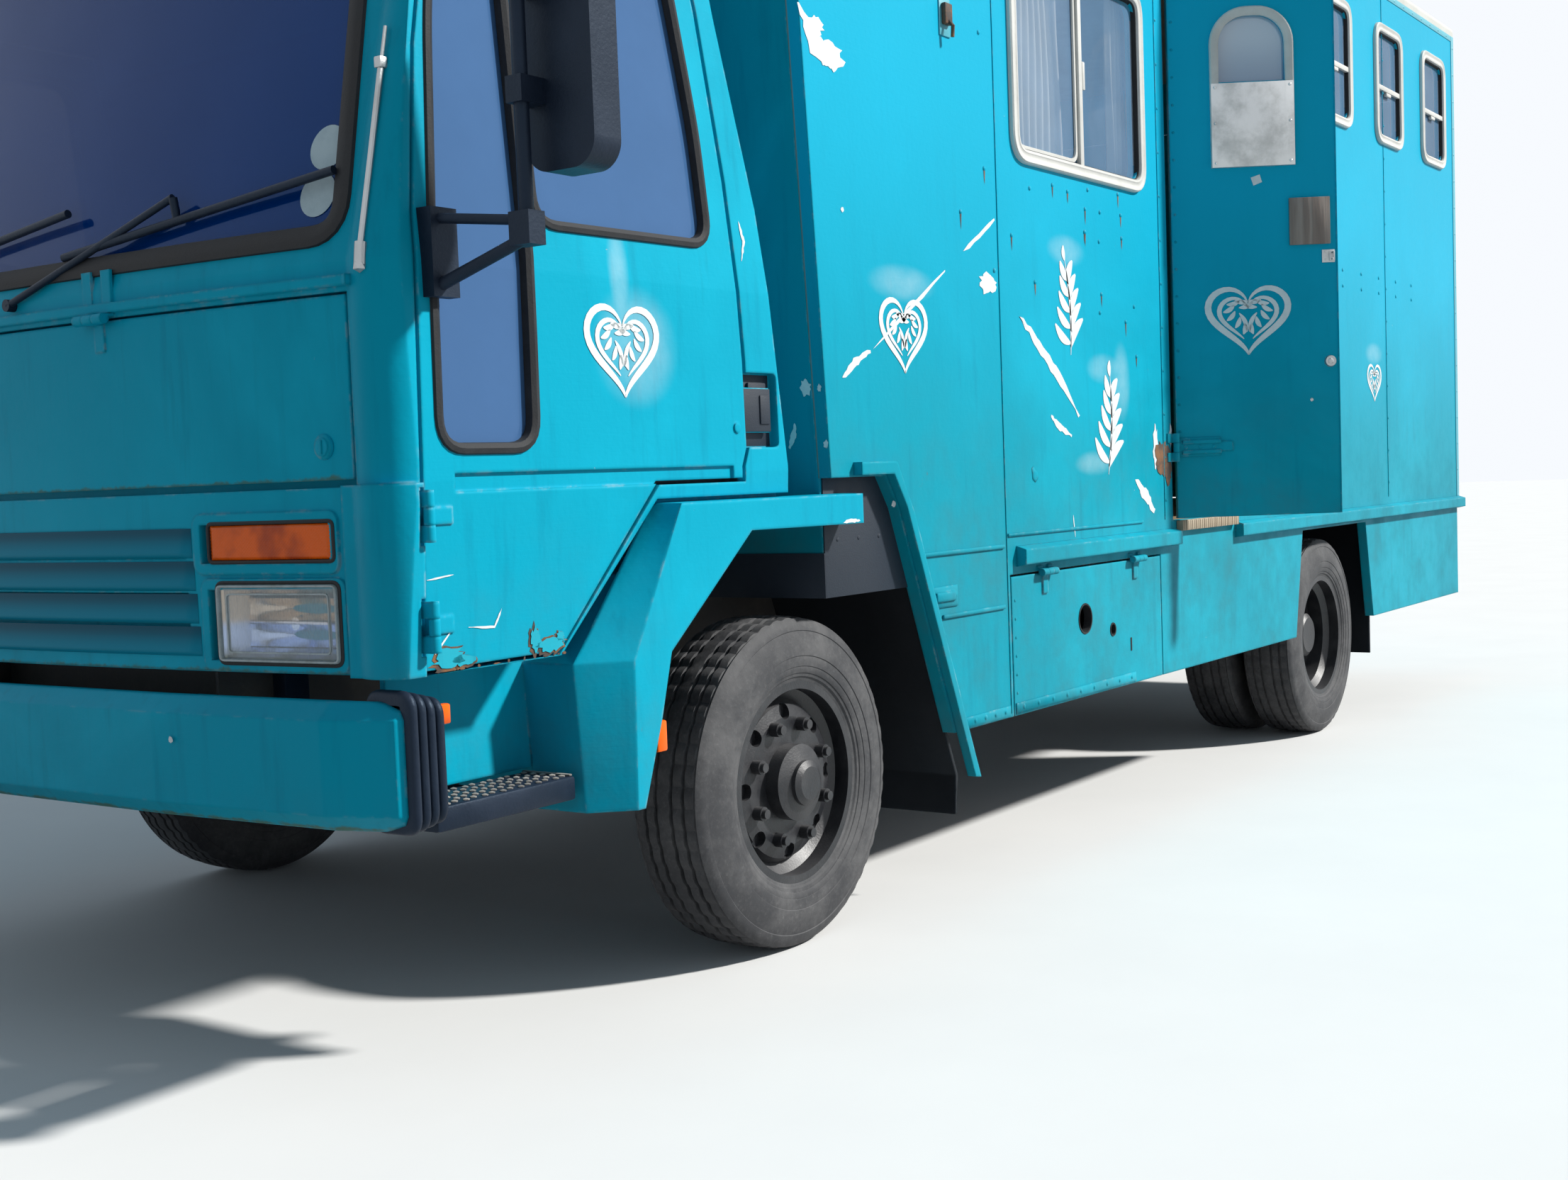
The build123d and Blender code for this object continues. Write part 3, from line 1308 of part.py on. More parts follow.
for side, word in ((1, "left"), (-1, "right")):
    nodes["front_" + word + "_knuckle"] = knuckle(side)
    nodes["front_" + word + "_tyre"] = tyre(side * FRONT_TRACK / 2, 0, side)
    nodes["front_" + word + "_wheel"] = front_wheel(side)
    inner_tyre = tyre(side * (REAR_TRACK - TWIN_SPACING) / 2, -WHEELBASE, side)
    outer_tyre = tyre(side * (REAR_TRACK + TWIN_SPACING) / 2, -WHEELBASE, side)
    nodes["rear_" + word + "_tyres"] = Compound(children=[inner_tyre, outer_tyre])
    nodes["rear_" + word + "_wheels"] = rear_wheels(side)
    door, panes = door_parts(side)
    nodes["cab_door_" + word] = door
    nodes["cab_door_" + word + "_glass"] = panes
    nodes["mirror_" + word] = mirror_arm(side)

# The origin moves to the middle of the whole truck's box at ground level.
low = [min(tuple(n.bounding_box().min)[i] for n in nodes.values()) for i in range(3)]
high = [max(tuple(n.bounding_box().max)[i] for n in nodes.values()) for i in range(3)]
SHIFT = (-(low[0] + high[0]) / 2, -(low[1] + high[1]) / 2, -low[2])

for name, node in nodes.items():
    export_step(Pos(*SHIFT) * node, "parts/" + name + ".step")
print("size", [round(high[i] - low[i], 1) for i in range(3)], "shift", SHIFT)
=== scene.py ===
import bmesh
import bpy
import json
import math
import random
from mathutils import Matrix, Vector


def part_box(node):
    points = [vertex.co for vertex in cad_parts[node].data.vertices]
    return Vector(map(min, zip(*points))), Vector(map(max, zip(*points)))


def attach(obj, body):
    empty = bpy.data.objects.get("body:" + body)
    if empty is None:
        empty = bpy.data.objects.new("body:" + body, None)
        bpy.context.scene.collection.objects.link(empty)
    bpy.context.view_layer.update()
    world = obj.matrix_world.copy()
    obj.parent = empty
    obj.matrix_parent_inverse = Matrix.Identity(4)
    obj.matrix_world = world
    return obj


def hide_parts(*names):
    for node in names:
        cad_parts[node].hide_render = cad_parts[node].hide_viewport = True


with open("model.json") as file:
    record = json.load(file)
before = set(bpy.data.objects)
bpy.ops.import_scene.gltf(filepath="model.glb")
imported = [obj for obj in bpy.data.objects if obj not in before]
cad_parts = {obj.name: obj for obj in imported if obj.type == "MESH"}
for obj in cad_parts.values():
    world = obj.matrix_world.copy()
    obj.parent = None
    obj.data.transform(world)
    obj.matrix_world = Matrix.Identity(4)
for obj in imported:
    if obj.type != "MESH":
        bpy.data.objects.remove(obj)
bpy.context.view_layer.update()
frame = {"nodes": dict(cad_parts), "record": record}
scene = bpy.context.scene


# The camera stands where the photograph was taken, about a metre above the ground off the near front corner.
# All places below are in metres from the front axle's middle at ground level: X forward, Y left, Z up.
def mid(node, axis):
    low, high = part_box(node)
    return (low[axis] + high[axis]) / 2


SHIFT = Vector((mid("front_left_tyre", 0), (mid("front_left_tyre", 1) + mid("front_right_tyre", 1)) / 2, 0.0))
EYE = Vector((3.3229, 3.3434, 1.0843))
HEADING = math.radians(35.238)
PITCH = math.radians(3.634)
ROLL = -0.0377
SENSOR = 36.0
fwd = Vector((-math.cos(HEADING) * math.cos(PITCH), -math.sin(HEADING) * math.cos(PITCH), -math.sin(PITCH)))
level = fwd.cross(Vector((0, 0, 1))).normalized()
below = fwd.cross(level)
right = level * math.cos(ROLL) - below * math.sin(ROLL)
down = level * math.sin(ROLL) + below * math.cos(ROLL)
camera = bpy.data.objects.new("camera", bpy.data.cameras.new("camera"))
camera.data.sensor_width = SENSOR
camera.data.lens = 2510.4 / 2212 * SENSOR
camera.data.clip_end = 200.0
camera.matrix_world = Matrix.Translation(EYE + SHIFT) @ Matrix((right, -down, -fwd)).transposed().to_4x4()
scene.collection.objects.link(camera)
scene.camera = camera
scene.view_settings.view_transform = "Standard"


# Chassis frame, axle beam, knuckles, rear axle, tank, engine block, springs and exhaust: pressed and forged
# steel, bolted together and brushed with black chassis paint. Road dust lies on what faces up; the springs and
# the exhaust have rusted. All are CAD nodes, which a material covers when its name is that of their slot.
class Sock:
    """One output socket of a shader node; operators add Math nodes."""

    def __init__(self, tree, out):
        self.tree = tree
        self.out = out

    def node(self, kind, settings=None, pick=0, **values):
        """Settings are set first, then inputs: plain values are stored, Socks are linked."""
        n = self.tree.nodes.new(kind)
        for key, value in (settings or {}).items():
            setattr(n, key, value)
        for key, value in values.items():
            socket = n.inputs[int(key[1:])] if key[1:].isdigit() else n.inputs[key.replace("_", " ")]
            if isinstance(value, Sock):
                self.tree.links.new(value.out, socket)
            else:
                socket.default_value = value
        return Sock(self.tree, n.outputs[pick])

    def math(self, operation, a, b=0.0):
        return self.node("ShaderNodeMath", {"operation": operation}, i0=a, i1=b)

    def __add__(self, other):
        return self.math("ADD", self, other)

    def __mul__(self, other):
        return self.math("MULTIPLY", self, other)

    __radd__ = __add__
    __rmul__ = __mul__

    def __sub__(self, other):
        return self.math("SUBTRACT", self, other)

    def __rsub__(self, other):
        return self.math("SUBTRACT", other, self)

    def __neg__(self):
        return self * -1.0

    def __abs__(self):
        return self.math("ABSOLUTE", self)

    def most(self, other):
        return self.math("MAXIMUM", self, other)

    def step(self, low, high):
        """0 below low, 1 above high, smooth between."""
        return self.node("ShaderNodeMapRange", {"interpolation_type": "SMOOTHSTEP"}, Value=self, From_Min=low,
                         From_Max=high)

    def noise(self, scale, detail=4.0, rough=0.55, warp=0.0):
        return self.node("ShaderNodeTexNoise", Vector=self, Scale=scale, Detail=detail, Roughness=rough,
                         Distortion=warp)

    def stretch(self, x, y, z):
        return self.node("ShaderNodeMapping", Vector=self, Scale=(x, y, z))

    def blend(self, a, b, share):
        """Colour a where share is 0, b where it is 1; a colour is a Sock or three numbers."""
        a, b = (c if isinstance(c, Sock) else (*c, 1.0) for c in (a, b))
        return self.node("ShaderNodeMix", {"data_type": "RGBA"}, pick=2, i0=share, i6=a, i7=b)

    def mix(self, other, share):
        return self.blend(self, other, share)


MATS = {}


def cover(mat, *names):
    """Give a material to CAD nodes, named one by one or by the slot that the record gives them."""
    for entry in frame["record"]["subparts"]:
        if entry["node"] in names or entry["material_slot"] in names:
            data = frame["nodes"][entry["node"]].data
            data.materials.clear()
            data.materials.append(MATS[mat])


class Mat(Sock):
    """One material, on the CAD nodes of the slot with its name: its tree, object-space place and shader."""

    def __init__(self, name, colour, rough=0.5, metal=0.0, **fixed):
        mat = bpy.data.materials.new(name)
        mat.use_nodes = True
        mat.diffuse_color = (*colour, 1.0)
        self.bsdf = mat.node_tree.nodes["Principled BSDF"]
        fixed.update(Base_Color=(*colour, 1.0), Roughness=rough, Metallic=metal)
        for key, value in fixed.items():
            self.bsdf.inputs[key.replace("_", " ")].default_value = value
        place = mat.node_tree.nodes.new("ShaderNodeTexCoord").outputs["Object"]
        super().__init__(mat.node_tree, place)
        split = self.node("ShaderNodeSeparateXYZ", i0=self)
        self.x, self.y, self.z = (Sock(self.tree, o) for o in split.out.node.outputs)
        MATS[name] = mat
        cover(name, name)

    def set(self, **links):
        for key, value in links.items():
            self.tree.links.new(value.out, self.bsdf.inputs[key.replace("_", " ")])

    def bump(self, height, distance, strength=1.0, **under):
        self.set(Normal=self.node("ShaderNodeBump", Height=height, Distance=distance, Strength=strength, **under))

    def facing(self, axis):
        """The surface normal's X, Y or Z, by number."""
        return self.node("ShaderNodeSeparateXYZ", pick=axis, i0=self.node("ShaderNodeNewGeometry", pick=1))


def dusty(name, base, dust, rough, amount, metal=0.0, scale=5.0, **fixed):
    """A plain surface with settled dust, patchy and thicker on what faces up."""
    m = Mat(name, base, rough, metal, **fixed)
    patch = m.noise(scale, 6, 0.65).step(0.38, 0.72)
    share = (patch * 0.6 + m.facing(2).step(0.1, 0.9) * 0.5) * amount
    fine = m.noise(scale * 22, 3)
    m.set(Base_Color=m.blend(base, dust, share), Roughness=rough + share * 0.3 + fine * 0.08)
    m.bump(fine + patch * 0.6, 0.001, 0.5)


dusty("chassis_black", (0.018, 0.018, 0.02), (0.13, 0.115, 0.095), 0.55, 0.55)
dusty("engine_iron", (0.035, 0.034, 0.032), (0.1, 0.08, 0.06), 0.6, 0.6)
rusty = Mat("rusty_steel", (0.16, 0.075, 0.035), 0.8)
scale = rusty.noise(16.0, 7, 0.7)
rusty.set(Base_Color=rusty.blend((0.055, 0.04, 0.032), (0.22, 0.095, 0.035), scale.step(0.4, 0.62))
          .mix((0.13, 0.11, 0.09), rusty.noise(3.0, 3).step(0.5, 0.8) * 0.6), Roughness=0.65 + scale * 0.25)
rusty.bump(scale, 0.002, 0.7)


# Tyres: moulded rubber, 215/75 on 17.5 inch steel discs, with grooved tread, notched edges and rings of ribs on
# the walls. They are pressed on the rims by air alone; the rear ones stand in pairs. Grit sits in the tread.
def new_piece(name, body, mat, bm, turn=None, sharp=0.6, replaces=()):
    """The finished mesh becomes a named piece that rides a body; turn places it first."""
    if turn is not None:
        bmesh.ops.transform(bm, matrix=turn, verts=bm.verts)
    bmesh.ops.translate(bm, vec=SHIFT, verts=bm.verts)
    bmesh.ops.recalc_face_normals(bm, faces=bm.faces)
    for edge in bm.edges:
        edge.smooth = len(edge.link_faces) == 2 and edge.calc_face_angle(0.0) < sharp
    for face in bm.faces:
        face.smooth = True
    data = bpy.data.meshes.new(name)
    bm.to_mesh(data)
    bm.free()
    data.materials.append(MATS[mat])
    obj = bpy.data.objects.new(name, data)
    scene.collection.objects.link(obj)
    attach(obj, body)
    if replaces:
        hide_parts(*replaces)
    return obj


def skin(bm, rows, closed=False):
    """Faces between rows of corners; closed joins each row's end to its start."""
    for a, b in zip(rows, rows[1:]):
        for k in range(len(a) if closed else len(a) - 1):
            j = (k + 1) % len(a)
            bm.faces.new((a[k], a[j], b[j], b[k]))


TYRE_R = 0.383
TWIN_OFFSET = 0.122
ROUND_STEPS = 150
NOTCH_DEPTH = 0.0045
# half of the section, from the tread's middle to the bead: (distance from the middle, radius). The points that
# NOTCHED numbers are cut back at every third step round the tyre.
HALF_TYRE = [
    (0.0, 0.383), (0.016, 0.383), (0.0172, 0.3722), (0.0248, 0.3722), (0.0262, 0.3826), (0.0475, 0.3816),
    (0.049, 0.371), (0.056, 0.371), (0.0575, 0.3808), (0.077, 0.3785), (0.079, 0.374), (0.0815, 0.374),
    (0.0835, 0.3765), (0.09, 0.37), (0.0945, 0.36), (0.0965, 0.35), (0.095, 0.348), (0.0985, 0.336),
    (0.103, 0.316), (0.1048, 0.3), (0.1048, 0.292), (0.103, 0.2905), (0.104, 0.28), (0.1025, 0.268),
    (0.1008, 0.2668), (0.101, 0.26), (0.0975, 0.252), (0.0955, 0.251), (0.094, 0.244), (0.09, 0.24),
    (0.088, 0.233), (0.086, 0.229),
]
NOTCHED = (1, 4, 5, 8, 9, 13)

rubber = Mat("tyre_rubber", (0.035, 0.034, 0.034), 0.75)
grit = rubber.noise(90.0, 4, 0.7)
dust = rubber.noise(7.0, 6, 0.7).step(0.35, 0.7) * 0.55 + grit.step(0.5, 0.8) * 0.35
rubber.set(Base_Color=rubber.blend((0.028, 0.029, 0.033), (0.15, 0.148, 0.15), dust), Roughness=0.68 + dust * 0.2)
rubber.bump(grit, 0.0009, 0.7)
dusty("wheel_steel", (0.01, 0.011, 0.014), (0.1, 0.098, 0.102), 0.34, 0.5, scale=9.0)


def tyre(bm, x, y, z):
    half = [(a, r, i) for i, (a, r) in enumerate(HALF_TYRE)]
    profile = [(-a, r, i) for a, r, i in half[:0:-1]] + half
    rings = []
    for k in range(ROUND_STEPS):
        angle = math.tau * k / ROUND_STEPS
        cut = NOTCH_DEPTH if k % 3 == 0 else 0.0
        ring = []
        for a, r, i in profile:
            r = r - cut if i in NOTCHED else r
            ring.append(bm.verts.new((x + r * math.cos(angle), y + a, z + r * math.sin(angle))))
        rings.append(ring)
    skin(bm, rings + rings[:1])


for side in ("left", "right"):
    for axle, offsets, plural in (("front", (0.0,), ""), ("rear", (-TWIN_OFFSET, TWIN_OFFSET), "s")):
        place = axle + "_" + side
        node = place + "_tyre" + plural
        centre = Vector([mid(node, i) for i in range(3)]) - SHIFT
        bm = bmesh.new()
        for offset in offsets:
            tyre(bm, centre.x, centre.y + offset, TYRE_R)
        new_piece("tread_" + place, place + "_wheel" + plural, "tyre_rubber", bm, sharp=0.5, replaces=(node,))


# Cab: pressed steel shell, doors, wings, bumper and front panels, bolted to the frame and brushed turquoise by
# hand. The paint is cloudy, has chips down to grey primer, rust low down, moss in the joints of the front and a
# pale mist round the stencils. Inside, the shell and the doors keep their dark lining.
DIRT = (0.075, 0.15, 0.15)
MIST = (0.6, 0.76, 0.8)
MOSS = (0.095, 0.115, 0.022)
PRIMER = (0.55, 0.62, 0.62)
RUST = (0.16, 0.075, 0.03)
RUBBED = (0.42, 0.56, 0.58)
GLOSS = 0.42
EDGE_R = 0.009


def paint(name, base, light, dark, grime_top, inside=None, lining=(0.012, 0.012, 0.013), sky_reflection=None, mossy=(),
          misted=()):
    """Brush-painted sheet: cloudy tone, runs, chips to grey primer, dirt that thins out upward, and edges lightened
    as a painted highlight.
    """
    # The blue specular tint colours the paint's reflections as a blue sky would: a painted sky reflection.
    m = Mat(name, base, GLOSS, Coat_Weight=0.02, Coat_Roughness=0.12, Specular_IOR_Level=0.15,
            Specular_Tint=(0.2, 0.62, 1.0, 1.0))
    cloud = m.noise(1.3, 5, 0.6, 0.4)
    runs = m.stretch(9.0, 9.0, 0.9).noise(3.0, 4, 0.6)
    colour = m.blend(base, light, cloud.step(0.42, 0.72)).mix(dark, runs.step(0.52, 0.75) * 0.35)
    # Painted sky reflection: higher up the wall, the colour is blended toward a lighter sky blue.
    if sky_reflection:
        colour = colour.mix(sky_reflection, (m.z + cloud * 0.5).step(1.15, 2.35) * 0.75)
    low = (-m.z + grime_top).step(0.0, 0.75)
    dirt = low * (0.35 + m.noise(6.0, 6, 0.65) * 0.9).step(0.62, 1.15)
    colour = colour.mix(DIRT, dirt * 0.5)
    # misted: centre x and z, half length and half height of each patch on the left side
    for cx, cz, rx, rz in misted:
        dx = (m.x - (SHIFT.x + cx)) * (1.0 / rx)
        dz = (m.z - cz) * (1.0 / rz)
        mist = (1.0 - dx * dx - dz * dz).step(0.0, 1.1) * (m.y - SHIFT.y).step(0.5, 0.6)
        colour = colour.mix(MIST, mist * m.noise(11.0, 4, 0.6) * 0.46)
    for joint_z in mossy:
        moss = -abs(m.z - joint_z) + m.noise(26.0, 5, 0.7) * 0.03
        colour = colour.mix(MOSS, moss.step(0.008, 0.016) * 0.75)
    chip = m.noise(23.0, 6, 0.7).step(0.715, 0.73) * m.noise(2.1, 2).step(0.5, 0.62)
    rust = m.noise(11.0, 6, 0.75).step(0.7, 0.76) * low
    colour = colour.mix(PRIMER, chip * 0.8).mix(RUST, rust * 0.7)
    rounded = m.node("ShaderNodeBevel", {"samples": 4}, Radius=EDGE_R)
    flat = m.node("ShaderNodeNewGeometry", pick=1)
    dot = m.node("ShaderNodeVectorMath", {"operation": "DOT_PRODUCT"}, pick=1, i0=rounded, i1=flat)
    # Edges are lightened toward the light tone as a painted highlight. In noisy spots they are also rubbed through to
    # RUBBED wear.
    edge = (1.0 - dot).step(0.01, 0.22)
    rubbed = edge * m.noise(17.0, 5, 0.7).step(0.5, 0.66)
    colour = colour.mix(light, edge * 0.45).mix(RUBBED, rubbed * 0.55)
    # The inside mask lays on the lining colour: real lining in the cab and the body, and painted shade under the
    # wings and in the mudguards.
    if inside:
        worn = [c * 2.5 for c in lining]
        colour = colour.mix(m.blend(lining, worn, m.noise(8.0, 5) * 0.7), inside(m))
    m.set(Base_Color=colour, Roughness=GLOSS + m.noise(38.0, 3) * 0.1 + dirt * 0.35 + chip * 0.2)
    brush = m.stretch(4.0, 4.0, 60.0).noise(4.0, 3)
    m.bump(m.noise(70.0, 2) * 0.5 + brush * 0.25 - chip * 0.8 + m.noise(2.2, 2) * 3.0, 0.0012, 0.55, Normal=rounded)


def off_centre(m):
    return abs(m.y - SHIFT.y)


def wing_underseal_and_shade(m):
    """The wing's lower and rear faces, inboard of its lip: drawn black, as underseal and as painted shade under the
    wing.
    """
    hidden = (-m.facing(2)).step(0.05, 0.2).most((-m.facing(0)).step(0.3, 0.5))
    return hidden * (-off_centre(m)).step(-1.062, -1.058)


def inside_cab(m):
    """Faces that look into the cab: short of its raked skin, below the roof, in front of the rear wall."""
    y = off_centre(m)
    width = y + (m.z - 1.1).most(0.0) * 0.0573
    reach = (m.x - SHIFT.x) + (m.z - 1.48).most(0.0) * 0.25 + y * y * 0.064
    rear = (-m.facing(0)).step(0.3, 0.5) * (-(m.x - SHIFT.x)).step(-0.3, -0.28)
    ceiling = (-m.z).step(-2.225, -2.215).most((-m.facing(2)).step(0.5, 0.6))
    within = (-width).step(-1.072, -1.064) * (-reach).step(-1.262, -1.252)
    return within * ceiling * (1.0 - rear) * m.z.step(1.06, 1.08)


# brushed tone, its light clouds, its dark runs
BLUE = ((0.001, 0.35, 0.5), (0.004, 0.44, 0.615), (0.001, 0.23, 0.345))
LINING = (0.045, 0.05, 0.06)
paint("cab_paint", *BLUE, 1.15)
paint("grille_paint", *BLUE, 1.15, mossy=(0.77, 1.108))
paint("cab_shell_paint", *BLUE, 1.15, inside=inside_cab, lining=LINING,
      misted=((0.641, 1.5, 0.035, 0.1), (0.6, 1.35, 0.14, 0.13)))
paint("wing_paint", *BLUE, 1.05, inside=wing_underseal_and_shade)
paint("bumper_paint", *BLUE, 0.8, mossy=(0.503,))
cover("grille_paint", "grille_panel", "service_flap")
cover("cab_shell_paint", "cab_shell", "cab_door_left", "cab_door_right")
cover("wing_paint", "front_wings")
cover("bumper_paint", "front_bumper")
# Its blue specular tint colours the reflections as a blue sky would: a painted sky reflection.
dusty("black_plastic", (0.005, 0.009, 0.019), (0.045, 0.06, 0.095), 0.42, 0.25, scale=8.0, Specular_IOR_Level=0.3,
      Specular_Tint=(0.55, 0.75, 1.0, 1.0))
dusty("cab_lining", (0.055, 0.06, 0.07), (0.12, 0.12, 0.12), 0.62, 0.3, scale=6.0)


# Cab glass: laminated screen and toughened door panes, tinted, each held by a black rubber strip that is pressed
# round the edge of its opening. The strips are drawn here; the panes are CAD nodes.
def soften(points, r, n=5, step=9.9):
    """Closed outline with rounded corners, its long sides divided into steps."""
    out = []
    count = len(points)

    def divide(end):
        last = out[-1].copy()
        pieces = int((end - last).length / step)
        out.extend(last.lerp(end, (k + 1) / (pieces + 1)) for k in range(pieces))

    for i in range(count):
        p = Vector(points[i])
        a = Vector(points[i - 1]) - p
        b = Vector(points[(i + 1) % count]) - p
        start = p + a.normalized() * min(r, a.length * 0.49)
        end = p + b.normalized() * min(r, b.length * 0.49)
        if out:
            divide(start)
        out += [start.lerp(p, k / n).lerp(p.lerp(end, k / n), k / n) for k in range(n + 1)]
    divide(out[0])
    area = sum(p.x * q.y - q.x * p.y for p, q in zip(out, out[1:] + out[:1]))
    return out if area > 0 else out[::-1]


def outward(loop, i):
    """Unit vector square to a closed outline at one of its points."""
    t = (loop[(i + 1) % len(loop)] - loop[i - 1]).normalized()
    return Vector((t.y, -t.x))


def sweep(bm, loop, section, put):
    """Section of (outward, height) pairs taken round a closed outline; put gives each point its place."""
    rows = []
    for i, p in enumerate(loop):
        out = outward(loop, i)
        rows.append([bm.verts.new(put(p.x + out.x * o, p.y + out.y * o, h)) for o, h in section])
    skin(bm, rows + rows[:1], closed=True)


def cab_y(z):
    """Half width of the cab's skin."""
    rows = ((0.725, 1.07), (1.1, 1.09), (1.48, 1.084), (2.41, 1.015))
    for (z0, y0), (z1, y1) in zip(rows, rows[1:]):
        if z <= z1:
            return y0 + (y1 - y0) * (z - z0) / (z1 - z0)
    return rows[-1][1]


def cab_left(x, z, h, s=1):
    return Vector((x, s * (cab_y(z) + h), z))


def cab_right(x, z, h):
    return cab_left(x, z, h, -1)


def front(y, z, h):
    """Bowed front, raked back above the screen's base."""
    x = 1.302 - 0.062 * (y / 0.985) ** 2 - 0.25 * max(z - 1.48, 0.0)
    return Vector((x + h, y, z))


def glass(name, tint, alpha, rough=0.03, glint=(1.0, 1.0, 1.0)):
    """Tinted pane with a patchy film of dust."""
    m = Mat(name, tint, rough, Specular_IOR_Level=0.45, Specular_Tint=(*glint, 1.0))
    film = m.noise(3.0, 5, 0.6).step(0.35, 0.8)
    m.set(Alpha=alpha + film * 0.1, Roughness=rough + film * 0.08)


SCREEN = [(0.955, 1.535), (0.9, 2.23), (-0.9, 2.23), (-0.955, 1.535)]
SCREEN_SEAL = [(0.026, 0.0), (0.024, 0.006), (0.012, 0.009), (-0.004, 0.006), (-0.014, 0.001), (-0.014, -0.014),
               (0.0, -0.014)]
MAIN_PANE = [(0.862, 1.571), (0.344, 1.575), (0.353, 1.8), (0.388, 2.04), (0.414, 2.205), (0.862, 2.205)]
QUARTER_PANE = [(1.14, 1.158), (0.905, 1.158), (0.894, 1.56), (0.894, 2.205), (1.03, 2.205), (1.086, 1.9),
                (1.13, 1.5)]
DOOR_SEAL = [(0.014, 0.0), (0.012, 0.005), (0.003, 0.007), (-0.006, 0.002), (-0.008, -0.013), (0.0, -0.013)]
CAB_SIDES = (("left", 1, cab_left), ("right", -1, cab_right))
# The deep blue of the screen and the blue glints of the screen and door panes stand for the sky they mirror: painted
# sky reflection.
glass("window_glass", (0.0, 0.042, 0.23), 0.74, 0.03, (0.12, 0.42, 1.0))
glass("door_glass", (0.075, 0.18, 0.39), 0.66, 0.03, (0.5, 0.7, 1.0))
cover("door_glass", "cab_door_left_glass", "cab_door_right_glass")
dusty("rubber_seal", (0.009, 0.01, 0.012), (0.06, 0.065, 0.072), 0.6, 0.35, scale=14.0, Specular_IOR_Level=0.3)
window_rubber = bmesh.new()
sweep(window_rubber, soften(SCREEN, 0.06, 6, 0.11), SCREEN_SEAL, front)
for side, s, on_cab in CAB_SIDES:
    bm = bmesh.new()
    for outline in (MAIN_PANE, QUARTER_PANE):
        sweep(bm, soften(outline, 0.055, 6, 0.15), DOOR_SEAL, on_cab)
    new_piece("cab_door_seals_" + side, "cab_door_" + side, "rubber_seal", bm)


# Louvres of the grille: four bowed steel slats pressed out of the panel, each with a rolled lower lip, painted with
# it. The dark lines between them are the shadow under each lip, which is also painted in: each slat's colour darkens
# toward the lip above.
def bowed_sheet(bm, y0, y1, z0, z1, put, ny, nz, height):
    """Surface over a rectangle; height gives how far each point stands out."""
    skin(bm, [[bm.verts.new(put(y0 + (y1 - y0) * i / ny, z0 + (z1 - z0) * j / nz, height(i / ny, j / nz)))
               for i in range(ny + 1)] for j in range(nz + 1)])


SLAT_FOOT = 0.796
SLAT_PITCH = 0.06
SLAT_TALL = 0.0545
LIP = 0.0105


def louvre(u, v):
    lip = LIP * min(v / 0.1, 1.0) if v < 0.1 else LIP - 0.0085 * ((v - 0.1) / 0.9) ** 0.8
    return 0.0006 + lip * min(u / 0.012, (1 - u) / 0.012, 1.0)


slat = Mat("louvre_paint", BLUE[0], 0.5, Specular_IOR_Level=0.15)
# Painted shade: each slat darkens from the dark run tone to near black toward the lip of the slat above.
rise = slat.math("MODULO", slat.z - SLAT_FOOT, SLAT_PITCH).step(0.012, 0.052)
slat.set(Base_Color=slat.blend(BLUE[2], (0.001, 0.03, 0.06), rise * 0.75))
slat.bump(slat.noise(60.0, 3), 0.0004, 0.4)
bm = bmesh.new()
for i in range(4):
    z = SLAT_FOOT + SLAT_PITCH * i
    half = 0.588 - 0.004 * i
    bowed_sheet(bm, -half, half, z, z + SLAT_TALL, front, 96, 14, louvre)
new_piece("grille_louvres", "chassis", "louvre_paint", bm, sharp=0.9)


# Headlamps and indicators: bright pressed bowls behind fluted lenses, with amber lenses above, each clipped in a
# black rubber seal in the front panel. The bowls' tints stand for the sky and the ground that they mirror.
def merge(bm, other):
    data = bpy.data.meshes.new("part")
    other.to_mesh(data)
    other.free()
    bm.from_mesh(data)
    bpy.data.meshes.remove(data)


def bricks(bm, rows, s=1):
    """Boxes with eased edges: x, y and z from and to, then the easing; s is -1 on the right side."""
    for x0, x1, y0, y1, z0, z1, ease in rows:
        t = bmesh.new()
        bmesh.ops.create_cube(t, size=1.0)
        bmesh.ops.scale(t, vec=(abs(x1 - x0), abs(y1 - y0), abs(z1 - z0)), verts=t.verts)
        bmesh.ops.translate(t, vec=((x0 + x1) / 2, s * (y0 + y1) / 2, (z0 + z1) / 2), verts=t.verts)
        if ease:
            bmesh.ops.bevel(t, geom=list(t.edges), offset=ease, segments=2, affect="EDGES", profile=0.5)
        merge(bm, t)


def disc(bm, place, r0, r1, depth, n, axis="Y"):
    """Short cone, turned about X or Y."""
    angle = math.pi / 2 if axis == "Y" else -math.pi / 2
    bmesh.ops.create_cone(bm, cap_ends=True, segments=n, radius1=r0, radius2=r1, depth=depth,
                          matrix=Matrix.Translation(place) @ Matrix.Rotation(angle, 4, axis))


def box_loop(x0, x1, z0, z1, r, n=5):
    return soften([(x0, z0), (x1, z0), (x1, z1), (x0, z1)], r, n)


def fill_loop(bm, loop, put, h=0.0):
    bm.faces.new([bm.verts.new(put(p.x, p.y, h)) for p in loop])


def inset(loop, d):
    return [Vector((p.x, p.y)) - outward(loop, i) * d for i, p in enumerate(loop)]


def headlamp_flutes(u, v):
    edge = min(u, 1 - u, v * 0.6, (1 - v) * 0.6)
    flute = 0.0009 if v > 0.45 else 0.0005
    return 0.0035 + 0.0035 * min(edge / 0.05, 1.0) + (flute * math.cos(u * 46 * math.tau) if edge > 0.05 else 0.0)


